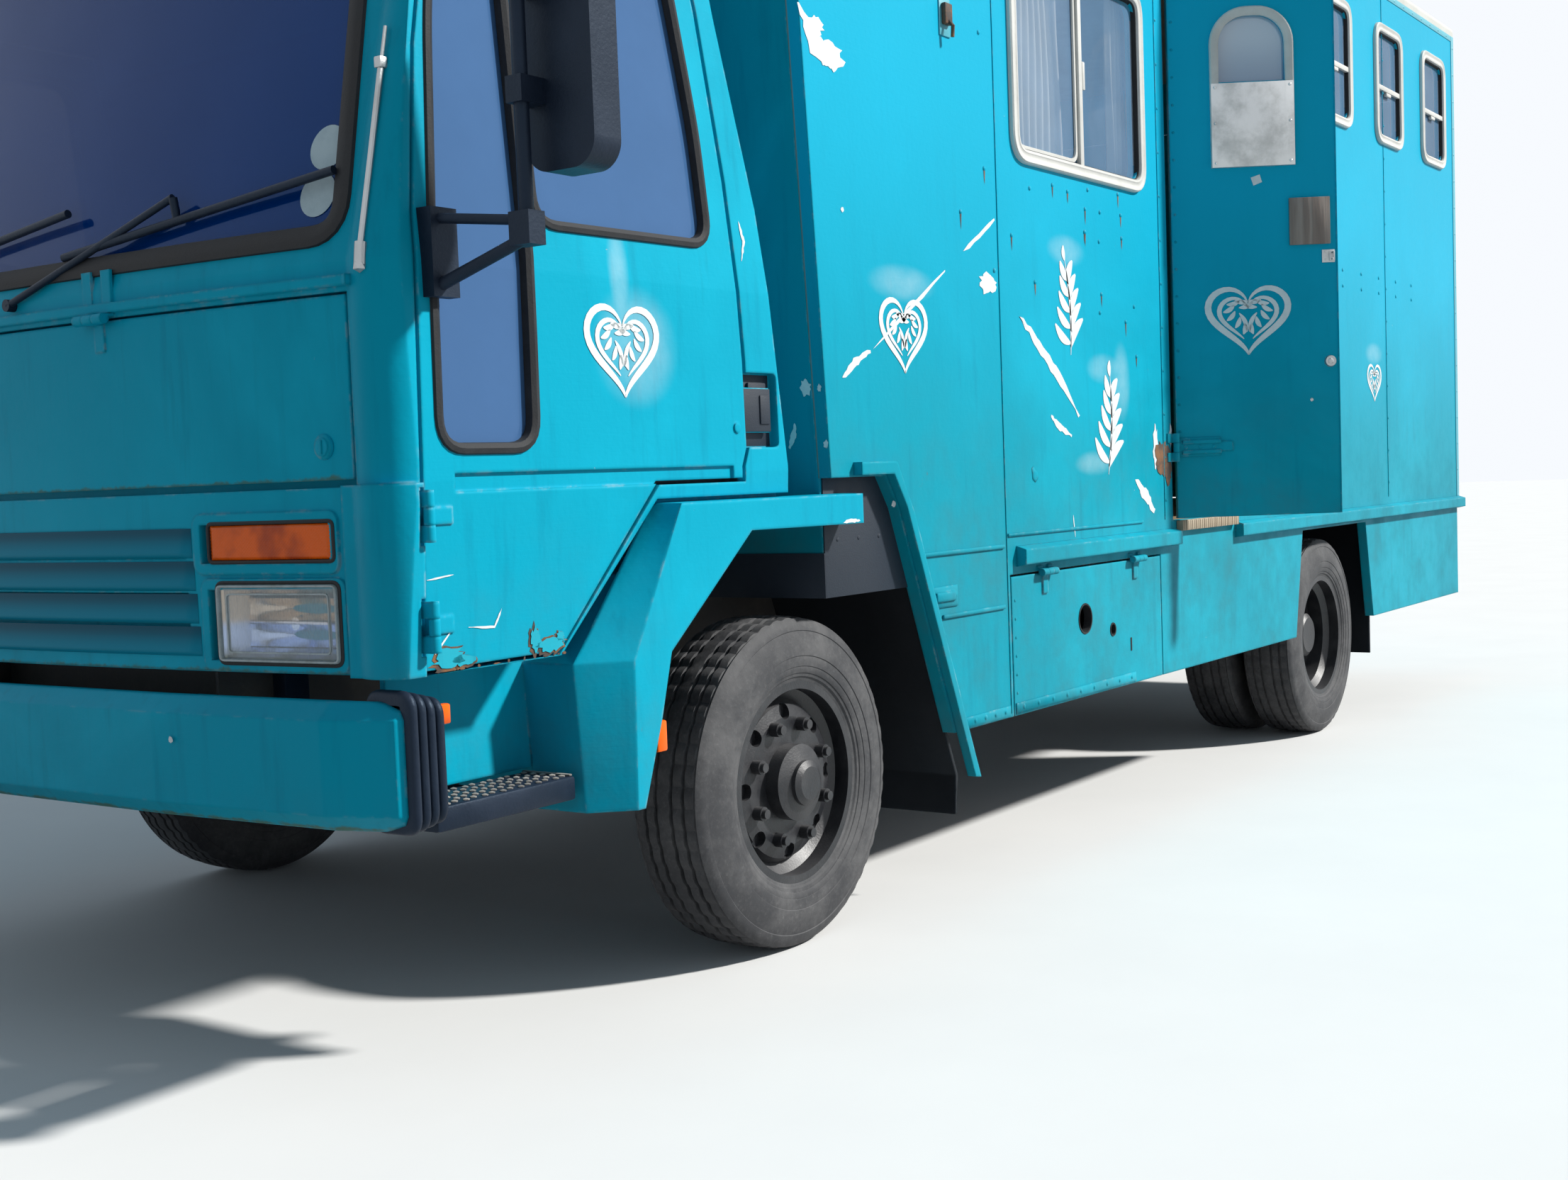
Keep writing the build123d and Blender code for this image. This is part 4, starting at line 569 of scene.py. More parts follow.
def indicator_grid(u, v):
    edge = min(u, 1 - u, v * 0.35, (1 - v) * 0.35)
    return 0.003 + 0.004 * min(edge / 0.03, 1.0) + 0.0006 * math.cos(u * 44 * math.tau) * math.cos(v * 10 * math.tau)


def bowl(u, v):
    return -0.04 - 0.026 * math.sin(math.pi * u) * math.sin(math.pi * v)


LAMP_SEAL = [(0.0035, 0.0), (0.0035, 0.0062), (0.0005, 0.008), (-0.003, 0.0068), (-0.0035, -0.004), (0.003, -0.006)]
LENS_RIM = [(-0.003, 0.0), (-0.003, 0.0095), (-0.0045, 0.0118), (-0.0075, 0.0118), (-0.009, 0.0095),
            (-0.009, 0.004)]
INNER_RIM = [(0.0, 0.004), (0.0, 0.0092), (-0.003, 0.0092), (-0.003, 0.004)]
LAMP = (0.64, 0.937, 0.785, 0.931)
INDICATOR = (0.626, 0.929, 0.968, 1.038)

glass("lamp_lens", (0.8, 0.84, 0.86), 0.3, 0.05)
dusty("lens_rim", (0.36, 0.42, 0.44), (0.1, 0.12, 0.08), 0.12, 0.7, scale=30.0, Coat_Weight=0.3)
silver = Mat("lamp_bowl", (0.8, 0.81, 0.82), 0.16, 0.95)
silver.set(Base_Color=silver.blend((0.48, 0.6, 0.86), (0.58, 0.47, 0.36), silver.z.step(0.848, 0.866))
           .mix((0.1, 0.11, 0.05), (-silver.z - silver.noise(30.0) * 0.03).step(-0.835, -0.805)),
           Roughness=0.12 + silver.noise(60.0, 3) * 0.25)
amber = Mat("amber_lens", (0.9, 0.12, 0.001), 0.22, Specular_IOR_Level=0.25)
amber.set(Base_Color=amber.blend((0.95, 0.135, 0.001), (0.5, 0.055, 0.001), amber.noise(9.0, 3).step(0.46, 0.66)))
bowls, lenses, rims, indicators, seals = (bmesh.new() for _ in range(5))
for s in (1, -1):
    def on_front(y, z, h, s=s):
        return front(s * y, z, h)

    head = box_loop(*LAMP, 0.016)
    for steps in (((0.004, 0.004), (0.01, -0.002)), ((0.01, -0.002), (0.03, -0.05))):
        skin(bowls, [[bowls.verts.new(on_front(p.x, p.y, h)) for p in inset(head, d)] for d, h in steps], closed=True)
    for z0, z1 in ((0.812, 0.853), (0.86, 0.9)):
        bowed_sheet(bowls, 0.656, 0.908, z0, z1, on_front, 24, 8, bowl)
    back, face = (on_front(0.78, 0.856, h).x for h in (-0.05, -0.03))
    bricks(bowls, [(back, face, 0.656, 0.88, 0.8535, 0.8595, 0.002)], s)
    disc(bowls, on_front(0.782, 0.854, -0.055), 0.017, 0.012, 0.03, 20)
    bowed_sheet(lenses, 0.646, 0.931, 0.791, 0.925, on_front, 276, 16, headlamp_flutes)
    sweep(rims, head, LENS_RIM, on_front)
    sweep(rims, box_loop(0.666, 0.914, 0.804, 0.912, 0.01, 4), INNER_RIM, on_front)
    sweep(seals, head, LAMP_SEAL, on_front)
    band = box_loop(*INDICATOR, 0.01, 4)
    bowed_sheet(indicators, 0.63, 0.925, 0.972, 1.034, on_front, 264, 40, indicator_grid)
    sweep(seals, band, LAMP_SEAL, on_front)
    fill_loop(seals, inset(band, 0.002), on_front, -0.004)
new_piece("headlamp_bowls", "chassis", "lamp_bowl", bowls, replaces=("front_lamps",))
new_piece("headlamp_lenses", "chassis", "lamp_lens", lenses, sharp=1.2)
new_piece("headlamp_rims", "chassis", "lens_rim", rims)
new_piece("front_indicators", "chassis", "amber_lens", indicators, sharp=1.2)
new_piece("lamp_seals", "chassis", "rubber_seal", seals)

# Side markers: small amber lenses moulded in plastic, one pushed into the bumper's end and one into the wing's
# lip on each side.
bm = bmesh.new()
for s in (1, -1):
    bricks(bm, [(1.136, 1.166, 1.06, 1.0765, 0.676, 0.712, 0.004),
                (0.574, 0.606, 1.07, 1.104, 0.546, 0.609, 0.005)], s)
new_piece("side_markers", "chassis", "amber_lens", bm)

# Black mouldings at the bumper's ends: four plastic rolls round each, and behind them the step, which stands on
# two steel arms from the frame.
ROLL_SECTION = [(-0.02, -0.0112), (-0.006, -0.0108), (0.0005, -0.0085), (0.0042, -0.0045), (0.0052, 0.0),
                (0.0042, 0.0045), (0.0005, 0.0085), (-0.006, 0.0108), (-0.02, 0.0112)]
STEP_PARTS = [(1.159, 1.2405, 0.985, 1.072, 0.515, 0.715, 0.004), (0.806, 1.166, 0.93, 1.062, 0.484, 0.53, 0.006),
              (0.94, 1.0, 0.43, 0.95, 0.486, 0.523, 0.003), (0.94, 1.0, 0.43, 0.47, 0.484, 0.74, 0.003)]
bm = bmesh.new()
for s in (1, -1):
    for i in range(4):
        def on_roll(y, z, h, s=s, i=i):
            return Vector((1.2345 - 0.0222 * i - h, s * y, z))

        sweep(bm, box_loop(0.98, 1.088 - 0.002 * i, 0.498 + 0.003 * i, 0.74 - 0.006 * i, 0.03, 6), ROLL_SECTION,
              on_roll)
    bricks(bm, STEP_PARTS, s)
new_piece("bumper_rolls_and_steps", "chassis", "black_plastic", bm, replaces=("cab_steps",))


# Tread of the step: five rows of raised buttons moulded in its plastic between two bars, worn pale where feet
# land. Every second button stands half a place further out.
def dome(bm, place, r, flat=0.5, axis="Y", level=1):
    """Rivet or button head, flattened along one axis."""
    scale = [r, r, r, 1.0]
    scale["XYZ".index(axis)] = r * flat
    turn = Matrix.Translation(Vector(place)) @ Matrix.Diagonal(scale)
    bmesh.ops.create_icosphere(bm, subdivisions=level, radius=1.0, matrix=turn)


STEP_TOP = 0.53
dusty("worn_tread", (0.03, 0.03, 0.032), (0.36, 0.34, 0.31), 0.6, 0.9, scale=6.0)
bm = bmesh.new()
for s in (1, -1):
    for i in range(15):
        for j in range(5):
            y = 0.946 + 0.0245 * j + (0.006 if i % 2 else 0.0)
            dome(bm, (0.826 + 0.0235 * i, s * y, STEP_TOP), 0.0075, 0.55, "Z")
    bricks(bm, [(x - 0.004, x + 0.004, 0.934, 1.058, STEP_TOP, 0.534, 0.0015) for x in (0.815, 1.158)], s)
new_piece("step_treads", "chassis", "worn_tread", bm)


# Aerial: a thin wire in a thicker steel sleeve, held by a clip, with its round foot screwed to the corner
# pillar. Drawn as bars on the raked front.
def tube(bm, points, r, n=10):
    """Round bar along a line of points, capped."""
    points = [Vector(p) for p in points]
    rows = []
    up = Vector((0.13, 0.21, 1.0)).normalized()
    for i, p in enumerate(points):
        ahead = (points[min(i + 1, len(points) - 1)] - points[max(i - 1, 0)]).normalized()
        side = ahead.cross(up).normalized()
        top = side.cross(ahead)
        rows.append([bm.verts.new(p + (side * math.cos(k * math.tau / n) + top * math.sin(k * math.tau / n)) * r)
                     for k in range(n)])
    skin(bm, rows, closed=True)
    bm.faces.new(rows[0])
    bm.faces.new(rows[-1][::-1])


dusty("galvanised", (0.42, 0.44, 0.45), (0.22, 0.2, 0.17), 0.38, 0.4, 0.9, scale=12.0)
bm = bmesh.new()
tube(bm, [(1.25, 1.03, 1.468), (1.248, 1.03, 1.486), (1.245, 1.0295, 1.506)], 0.0105)
tube(bm, [(1.245, 1.0295, 1.506), (1.2085, 1.025, 1.655), (1.1715, 1.021, 1.812)], 0.0056)
bricks(bm, [(1.162, 1.18, 1.012, 1.029, 1.808, 1.828, 0.003)])
tube(bm, [(1.17, 1.021, 1.82), (1.1545, 1.019, 1.882)], 0.0034, 8)
dome(bm, (1.251, 1.03, 1.466), 0.012, 1.0, "Z")
new_piece("aerial", "chassis", "galvanised", bm)


# Two blank paper discs, stuck to the inside of the windscreen at its lower corner, one above the other. The
# sun has bleached them.
def ring(x, z, r, n):
    return [Vector((x + r * math.cos(math.tau * k / n), z + r * math.sin(math.tau * k / n))) for k in range(n)]


dusty("faded_disc", (0.5, 0.62, 0.66), (0.3, 0.42, 0.48), 0.5, 0.5, scale=30.0)
bm = bmesh.new()
for y, z in ((0.885, 1.607), (0.893, 1.69)):
    fill_loop(bm, ring(y, z, 0.04, 28), front, -0.0125)
new_piece("screen_discs", "chassis", "faded_disc", bm)

# Locks of the front flap: round stepped escutcheons of steel with a slot for a key. They are riveted to the
# flap and painted over with it.
bm = bmesh.new()
for s in (1, -1):
    place = front(s * 0.913, 1.166, 0.0)
    for r, out in ((0.024, 0.003), (0.018, 0.006)):
        disc(bm, place, r, r - 0.002, out * 2, 28)
    bricks(bm, [(place.x + 0.005, place.x + 0.0085, place.y - 0.003, place.y + 0.003, 1.154, 1.178, 0.001)])
new_piece("flap_locks", "service_flap", "cab_paint", bm)

# Cab door handles: a black plastic dish let into the pillar behind each door, and the pull paddle on the door's
# rear edge, screwed on from inside.
# Near-black navy: the real black plastic of the handles, and painted shade on the arch sheets.
dusty("dull_black", (0.003, 0.01, 0.022), (0.012, 0.022, 0.034), 0.6, 0.4, scale=14.0)
bm = bmesh.new()
for s in (1, -1):
    bricks(bm, [(0.1325, 0.25, 1.0645, 1.0665, 1.153, 1.307, 0.001),
                (0.15, 0.215, 1.066, 1.074, 1.215, 1.29, 0.003)], s)
new_piece("handle_dishes", "chassis", "dull_black", bm)
for side, s, on_cab in CAB_SIDES:
    bm = bmesh.new()
    bricks(bm, [(0.15, 0.264, 1.0805, 1.0835, 1.184, 1.276, 0.0012),
                (0.156, 0.19, 1.083, 1.087, 1.2, 1.262, 0.0015)], s)
    new_piece("door_paddle_" + side, "cab_door_" + side, "dull_black", bm)


# Rust and flakes along the cab doors' lower edge: the folded seam holds water, so the paint lifts in flakes and
# the steel under it is chipped and brown. Drawn as thin ragged patches on the door's skin.
def blot(cx, cz, rx, rz, jag, seed, low=0.0):
    """Ragged patch outline, cut off below a height."""
    rnd = random.Random(seed)
    n = 22
    points = [(cx + rx * math.cos(math.tau * k / n) * rnd.uniform(1 - jag, 1 + jag),
               cz + rz * math.sin(math.tau * k / n) * rnd.uniform(1 - jag, 1 + jag)) for k in range(n)]
    return [Vector((x, max(z, low))) for x, z in points]


# x, z, half width, half height, seed
FLAKES = ((1.135, 0.79, 0.04, 0.018, 51), (1.098, 0.782, 0.026, 0.012, 52), (0.915, 0.8, 0.014, 0.024, 53),
          (0.872, 0.786, 0.04, 0.013, 54), (0.848, 0.8, 0.012, 0.01, 55))
paint("flaked_paint", (0.02, 0.4, 0.52), (0.1, 0.55, 0.66), (0.001, 0.16, 0.24), 1.15)
for side, s, on_cab in CAB_SIDES:
    bm = bmesh.new()
    rnd = random.Random(11 if s > 0 else 23)
    x = 1.165
    while x > 0.84:
        w = rnd.uniform(0.004, 0.022)
        h = rnd.uniform(0.001, 0.004)
        fill_loop(bm, blot(x - w / 2, 0.768 + h * 0.5, w / 2, h, 0.35, int(x * 1e4), 0.7665), on_cab, 0.0009)
        x -= w + rnd.uniform(0.004, 0.05)
    flake = bmesh.new()
    for x, z, w, h, seed in FLAKES:
        fill_loop(bm, blot(x, z, w * 1.12, h * 1.22, 0.3, seed, 0.7672), on_cab, 0.0007)
        fill_loop(flake, blot(x - 0.002, z + 0.002, w * 0.92, h * 0.9, 0.3, seed, 0.768), on_cab, 0.0022)
    new_piece("door_edge_rust_" + side, "cab_door_" + side, "rusty_steel", bm)
    new_piece("door_flaked_paint_" + side, "cab_door_" + side, "flaked_paint", flake)


# Cab seats: foam pads in a woven cover, sewn in channels across, on a plain steel base. The backrest hangs on
# two bent bars. Driver's seat on the left, a wider one for the passenger.
def cloth(name, base, thread, weave):
    """Woven cover: two crossed waves of thread, faded in patches."""
    m = Mat(name, base, 0.9, Sheen_Weight=0.3)
    warp, weft = (m.node("ShaderNodeTexWave", {"bands_direction": way}, pick=1, Vector=m, Scale=weave, Detail=1.0)
                  for way in ("Z", "DIAGONAL"))
    both = warp * 0.5 + weft * 0.5
    m.set(Base_Color=m.blend(base, thread, both * 0.4 + m.noise(4.0, 4).step(0.35, 0.75) * 0.4))
    m.bump(both, 0.0008, 0.6)


def pad(name, x0, x1, y0, y1, z0, z1, crown, channels, lean=0.0):
    """Crowned cushion with pulled-in sides and sewn channels across it."""
    bm = bmesh.new()
    bmesh.ops.create_cube(bm, size=2.0)
    bmesh.ops.subdivide_edges(bm, edges=bm.edges, cuts=21, use_grid_fill=True)
    half = Vector(((x1 - x0) / 2, (y1 - y0) / 2, (z1 - z0) / 2))
    flat = half.z < half.x
    thin = min(half.x, half.z)
    for v in bm.verts:
        # a runs along the pad, b through it
        a, b = (v.co.x, v.co.z) if flat else (v.co.z, v.co.x)
        y = v.co.y
        swell = thin * (0.8 + crown * (1 - a ** 4) * (1 - y ** 4))
        pull = 1.0 - 0.05 * (1 - abs(b)) * (1 - (y if abs(a) > 0.98 else a) ** 2)
        sewn = sum(math.exp(-((a - c) / 0.055) ** 2) for c in channels)
        sewn += sum(0.8 * math.exp(-((y - c) / 0.045) ** 2) for c in (-0.66, 0.66))
        rise = b * (swell - 0.011 * min(sewn, 1.0) * max(b, 0.0))
        y *= half.y * pull
        v.co = (a * half.x * pull, y, rise) if flat else (rise, y, a * half.z * pull)
    bmesh.ops.smooth_vert(bm, verts=bm.verts, factor=0.5, use_axis_x=True, use_axis_y=True, use_axis_z=True)
    turn = Matrix.Translation(((x0 + x1) / 2, (y0 + y1) / 2, (z0 + z1) / 2)) @ Matrix.Rotation(lean, 4, "Y")
    new_piece(name, "chassis", "seat_cloth", bm, turn=turn, sharp=3.0)


cloth("seat_cloth", (0.045, 0.055, 0.085), (0.11, 0.12, 0.15), 260.0)
SEATS = (("driver", -0.78, -0.36), ("passenger", 0.36, 0.86))
bm = bmesh.new()
for who, y0, y1 in SEATS:
    bricks(bm, [(0.4, 0.75, y0 + 0.04, y1 - 0.04, 1.091, 1.236, 0.01),
                (0.375, 0.78, y0 + 0.01, y1 - 0.01, 1.236, 1.262, 0.006)])
    for y in (y0 + 0.02, y1 - 0.02):
        tube(bm, [(0.47, y, 1.3), (0.43, y, 1.4), (0.415, y, 1.5)], 0.012)
new_piece("seat_bases", "chassis", "chassis_black", bm, replaces=("cab_seats",))
for who, y0, y1 in SEATS:
    pad(who + "_cushion", 0.372, 0.786, y0 + 0.006, y1 - 0.006, 1.262, 1.35, 0.2, (-0.5, 0.0, 0.5))
    pad(who + "_backrest", 0.355, 0.435, y0 + 0.006, y1 - 0.006, 1.365, 1.94, 0.22,
        (-0.75, -0.45, -0.15, 0.15, 0.45), lean=-0.105)


# Living body: a box of plywood walls faced with sheet, on a plank floor, with a pale moulded roof, angles and a
# bulkhead behind the cab. It is screwed together and painted a greener blue than the cab; higher up it turns lighter
# and bluer, a painted sky reflection.
def wood(name, pale, deep, scale, rough=0.75, under=None):
    """Grain bands and fine fibres along Z; under marks the faces drawn near black, as underseal and as painted shade
    under the floor.
    """
    m = Mat(name, pale, rough)
    grain = m.node("ShaderNodeTexWave", {"bands_direction": "X"}, pick=1, Vector=m.stretch(1.0, 1.0, 0.1),
                   Scale=scale, Distortion=7.0, Detail=4.0, Detail_Scale=1.6)
    fine = m.stretch(1.0, 1.0, 0.05).noise(180.0, 3)
    colour = m.blend(pale, deep, grain * 0.6 + fine * 0.35)
    if under:
        colour = colour.mix((0.012, 0.011, 0.01), under(m))
    m.set(Base_Color=colour, Roughness=rough - 0.1 + fine * 0.15)
    m.bump(grain * 0.5 + fine, 0.0012, 0.6)


# Inner panels of the mudguards, drawn near black: painted shade behind the wheels.
def inner_guard_shade(m):
    return (-off_centre(m)).step(-1.085, -1.075)


def inside_wall(m):
    return (-off_centre(m)).step(-1.07, -1.066) * m.z.step(0.82, 0.9)


def floor_underseal_and_shade(m):
    return (-m.z).step(-0.8985, -0.8965)


BOX = ((0.001, 0.3, 0.4), (0.004, 0.38, 0.5), (0.001, 0.2, 0.285))
# The lighter blue that the body's upper walls are blended toward: a painted sky reflection.
SKY_REFLECTION = (0.006, 0.45, 0.69)
paint("body_paint", *BOX, 1.45, sky_reflection=SKY_REFLECTION)
paint("body_wall", *BOX, 1.45, inside=inside_wall, lining=(0.22, 0.2, 0.17), sky_reflection=SKY_REFLECTION,
      misted=((-0.395, 1.54, 0.17, 0.05), (-1.29, 1.69, 0.13, 0.05), (-1.64, 1.33, 0.07, 0.13),
              (-1.52, 1.365, 0.13, 0.05), (-1.44, 1.09, 0.14, 0.04), (-4.13, 1.5, 0.13, 0.05)))
paint("bulkhead_paint", *BOX, 1.45)
paint("mudguard_paint", *BOX, 1.3, inside=inner_guard_shade)
dusty("roof_shell", (0.62, 0.62, 0.58), (0.25, 0.25, 0.2), 0.5, 0.6, scale=2.0)
dusty("red_lens", (0.5, 0.012, 0.01), (0.22, 0.05, 0.04), 0.18, 0.3, scale=20.0, Coat_Weight=0.6)
wood("plank_wood", (0.36, 0.29, 0.25), (0.17, 0.125, 0.105), 14.0)
wood("lining_board", (0.5, 0.36, 0.2), (0.33, 0.21, 0.1), 5.0, 0.5)
wood("floor_board", (0.4, 0.29, 0.17), (0.25, 0.16, 0.08), 5.0, 0.5, under=floor_underseal_and_shade)
cover("body_paint", "body_sheet")
cover("body_wall", "body_side_left", "body_side_right")
cover("bulkhead_paint", "body_bulkhead")
cover("mudguard_paint", "mudguards")
cover("floor_board", "body_floor")


# Windows of the living body: white aluminium frames screwed over the openings, with tinted panes in black strip.
# The kerb window slides in two halves; the three at the rear have a hinged pane above a bar.
def body_left(x, z, h, s=1):
    return Vector((x, s * (WALL + h), z))


def body_right(x, z, h):
    return body_left(x, z, h, -1)


WALL = 1.1
BODY_SIDES = ((1, body_left), (-1, body_right))
# x and z from and to, and whether it slides
WINDOWS = [(-1.836, -0.972, 1.902, 2.51, True), (-3.88, -3.5, 2.372, 2.868, False),
           (-4.57, -4.19, 2.372, 2.868, False), (-5.24, -4.86, 2.372, 2.868, False)]
FRAME_SECTION = [(0.0, 0.0005), (-0.001, 0.01), (-0.005, 0.0138), (-0.012, 0.0135), (-0.015, 0.0115),
                 (-0.026, 0.0115), (-0.029, 0.0135), (-0.035, 0.0125), (-0.038, 0.008), (-0.038, -0.016)]
SASH_SECTION = [(0.0, -0.008), (0.0, -0.002), (-0.012, -0.002), (-0.012, -0.008)]
STRIP_SECTION = [(0.0, 0.006), (-0.005, 0.004), (-0.007, -0.009), (0.0, -0.009)]
BAR_Y = (1.092, 1.106)
dusty("white_frame", (0.66, 0.655, 0.62), (0.3, 0.29, 0.25), 0.45, 0.45, scale=7.0)
glass("box_glass", (0.27, 0.47, 0.74), 0.38)
frames = bmesh.new()
panes = bmesh.new()
for s, on_body in BODY_SIDES:
    for x0, x1, z0, z1, slides in WINDOWS:
        loop = box_loop(x0, x1, z0, z1, 0.085, 8)
        sweep(frames, loop, FRAME_SECTION, on_body)
        fill_loop(panes, inset(loop, 0.036), on_body, -0.009)
        sweep(window_rubber, inset(loop, 0.036), STRIP_SECTION, on_body)
        cx = (x0 + x1) / 2
        cz = (z0 + z1) / 2
        if slides:
            bricks(frames, [(cx - 0.011, cx + 0.011, *BAR_Y, z0 + 0.034, z1 - 0.034, 0.002),
                            (cx - 0.03, cx - 0.014, *BAR_Y, cz - 0.05, cz + 0.03, 0.003)], s)
            sweep(frames, box_loop(cx + 0.012, x1 - 0.04, z0 + 0.04, z1 - 0.04, 0.05, 6), SASH_SECTION, on_body)
        else:
            bar = z0 + (z1 - z0) * 0.47
            bricks(frames, [(x0 + 0.034, x1 - 0.034, *BAR_Y, bar - 0.01, bar + 0.01, 0.002),
                            (cx - 0.03, cx + 0.03, *BAR_Y, bar - 0.026, bar - 0.012, 0.003)], s)
new_piece("body_window_frames", "chassis", "white_frame", frames, replaces=("body_windows",))
new_piece("body_window_panes", "chassis", "box_glass", panes)
new_piece("body_and_screen_seals", "chassis", "rubber_seal", window_rubber)


# Curtains: unbleached woven cotton, gathered on a thin steel rail inside the kerb window, drawn to both ends. The
# rail sits in three brackets screwed to the wall.
def curtain(name, x0, x1, waves, deep):
    """Gathered cloth hanging from the rail, fuller toward its hem."""
    bm = bmesh.new()
    columns = waves * 10
    rows = 14
    grid = []
    for j in range(rows + 1):
        v = j / rows
        line = []
        for i in range(columns + 1):
            u = i / columns
            wave = math.sin(u * waves * math.tau + 0.7 * math.sin(3.0 * u + 2.0 * v)) * deep * (0.55 + 0.45 * v)
            x = x0 + (x1 - x0) * u + 0.006 * math.sin(5 * v + 7 * u)
            line.append(bm.verts.new((x, CURTAIN_Y + wave, CURTAIN_TOP - CURTAIN_DROP * v)))
        grid.append(line)
    skin(bm, grid)
    area = sum(f.calc_area() for f in bm.faces)
    piece = new_piece(name, "chassis", "curtain_cloth", bm, sharp=3.0)
    area / CURTAIN_DROP


CURTAIN_Y = 1.035
CURTAIN_TOP = 2.52
CURTAIN_DROP = CURTAIN_TOP - 1.93
cloth("curtain_cloth", (0.7, 0.66, 0.58), (0.5, 0.46, 0.38), 300.0)
curtain("curtain_front", -1.395, -0.985, 11, 0.013)
curtain("curtain_rear", -1.83, -1.735, 4, 0.014)
bm = bmesh.new()
tube(bm, [(-1.86, CURTAIN_Y, 2.535), (-1.4, CURTAIN_Y, 2.53), (-0.95, CURTAIN_Y, 2.535)], 0.006)
bricks(bm, [(x - 0.006, x + 0.006, 1.03, 1.0655, 2.526, 2.544, 0.002) for x in (-1.855, -1.4, -0.955)])
new_piece("curtain_rail", "chassis", "galvanised", bm)

# Boxing of the wheel arch in the body's front corner: sheet riveted to the box on each side, and one strip across its
# front, drawn near black as painted shade over the arch's inside.
bm = bmesh.new()
for s in (1, -1):
    bricks(bm, [(-0.43, -0.0655, 1.0655, 1.069, 0.802, 1.098, 0.001)], s)
    for k in range(4):
        dome(bm, (-0.12 - 0.09 * k, s * 1.069, 0.935), 0.006)
bricks(bm, [(-0.0655, -0.0625, -1.069, 1.069, 0.802, 0.906, 0.001)])
new_piece("arch_shade_sheets", "chassis", "dull_black", bm)

# Trim of the body: cover strips over the sheets' seams, beads, folded bottom edges and the latch of a small
# hatch, all riveted through and painted with the walls; alloy angles at the top and the rear corners, brushed
# over thinly; steel hooks, and the rust that runs down from loose rivets.
RIVETS = [(-1.31, 1.857), (-1.442, 1.876), (-1.648, 1.885), (-1.421, 1.819), (-1.52, 1.82), (-1.664, 1.825),
          (-1.417, 1.753), (-1.509, 1.734), (-1.667, 1.757), (-1.517, 1.582), (-1.746, 1.559), (-1.682, 1.51),
          (-1.754, 1.409), (-1.504, 1.528), (-0.824, 1.864), (-0.692, 1.74), (-1.078, 1.841), (-1.216, 1.865),
          (-0.965, 1.705), (-0.863, 1.604), (-1.413, 1.753), (-1.095, 1.589), (-0.815, 2.21)]
BEADS = [(-0.868, -0.412, 1.1, 1.106, 0.873, 0.884, 0.002), (-0.862, -0.535, 1.1, 1.106, 0.713, 0.724, 0.002),
         (-1.768, -0.892, 1.1, 1.1045, 0.902, 0.911, 0.0015), (-0.88, -0.602, 1.1, 1.103, 0.4215, 0.452, 0.001)]
ANGLES = [(-5.417, -5.378, 1.1, 1.1025, 0.826, 3.008, 0.0008), (-5.376, 0.05, 1.1, 1.1025, 2.984, 3.008, 0.0008),
          (-0.664, -0.61, 1.1, 1.104, 2.168, 2.262, 0.002)]
dusty("painted_alloy", (0.08, 0.42, 0.52), (0.22, 0.24, 0.24), 0.4, 0.4, scale=8.0)
trim = bmesh.new()
metal = bmesh.new()
rust = bmesh.new()
for s, on_body in BODY_SIDES:
    y = s * 1.1
    for x in (-0.885, -1.94, -2.56 if s > 0 else -2.8, -3.33, -4.3):
        low = 0.906 if x < -0.9 else 0.43
        bricks(trim, [(x - 0.003, x, 1.099, 1.1022, low, 3.006, 0.0)], s)
        if x < -1.0:
            for k in range(15):
                dome(trim, (x - 0.015, y, low + 0.06 + 0.135 * k), 0.0055, 0.45)
    bricks(trim, BEADS, s)
    for k in range(5):
        dome(trim, (-0.63 - 0.055 * k, s * 1.103, 0.438), 0.006, 0.45)
    bricks(metal, ANGLES, s)
    for k in range(18):
        dome(metal, (-5.398, s * 1.1025, 0.88 + 0.122 * k), 0.006, 0.45)
    for k in range(40):
        dome(metal, (-5.3 + 0.135 * k, s * 1.1025, 2.996), 0.0055, 0.45)
    for x in (-3.743, -3.979, -4.212, -4.451, -4.681):
        for z in (1.815, 1.753):
            dome(trim, (x, y, z), 0.0085)
    bricks(rust, [(-0.655, -0.619, 1.103, 1.117, 2.195, 2.248, 0.004)], s)
    tube(rust, [(-0.637, s * 1.114, 2.205), (-0.637, s * 1.126, 2.19), (-0.637, s * 1.124, 2.163)], 0.005, 8)
    for i, (x, z) in enumerate(RIVETS):
        dome(trim, (x, y, z), 0.0075, 0.55)
        if i % 3 != 1:
            run = ((-0.004, -0.005), (0.004, -0.005), (0.003, -0.02), (0.0, -0.034 - 0.004 * (i % 4)))
            fill_loop(rust, [Vector((x + dx, z + dz)) for dx, dz in run], on_body, 0.0008)
    for x, z, r in ((-1.062, 1.062, 0.02), (-1.053, 1.077, 0.012)):
        dome(trim, (x, y, z), r, 0.16)
bricks(trim, [(-0.612, -0.482, 1.1, 1.1035, 0.742, 0.796, 0.001),
              (-0.596, -0.5, 1.1035, 1.1095, 0.757, 0.781, 0.003)])
for x in (-0.604, -0.49):
    dome(trim, (x, 1.1035, 0.769), 0.005)
new_piece("body_trim", "chassis", "body_paint", trim)
new_piece("corner_angles", "chassis", "painted_alloy", metal)
new_piece("hooks_and_rust_runs", "chassis", "rusty_steel", rust)

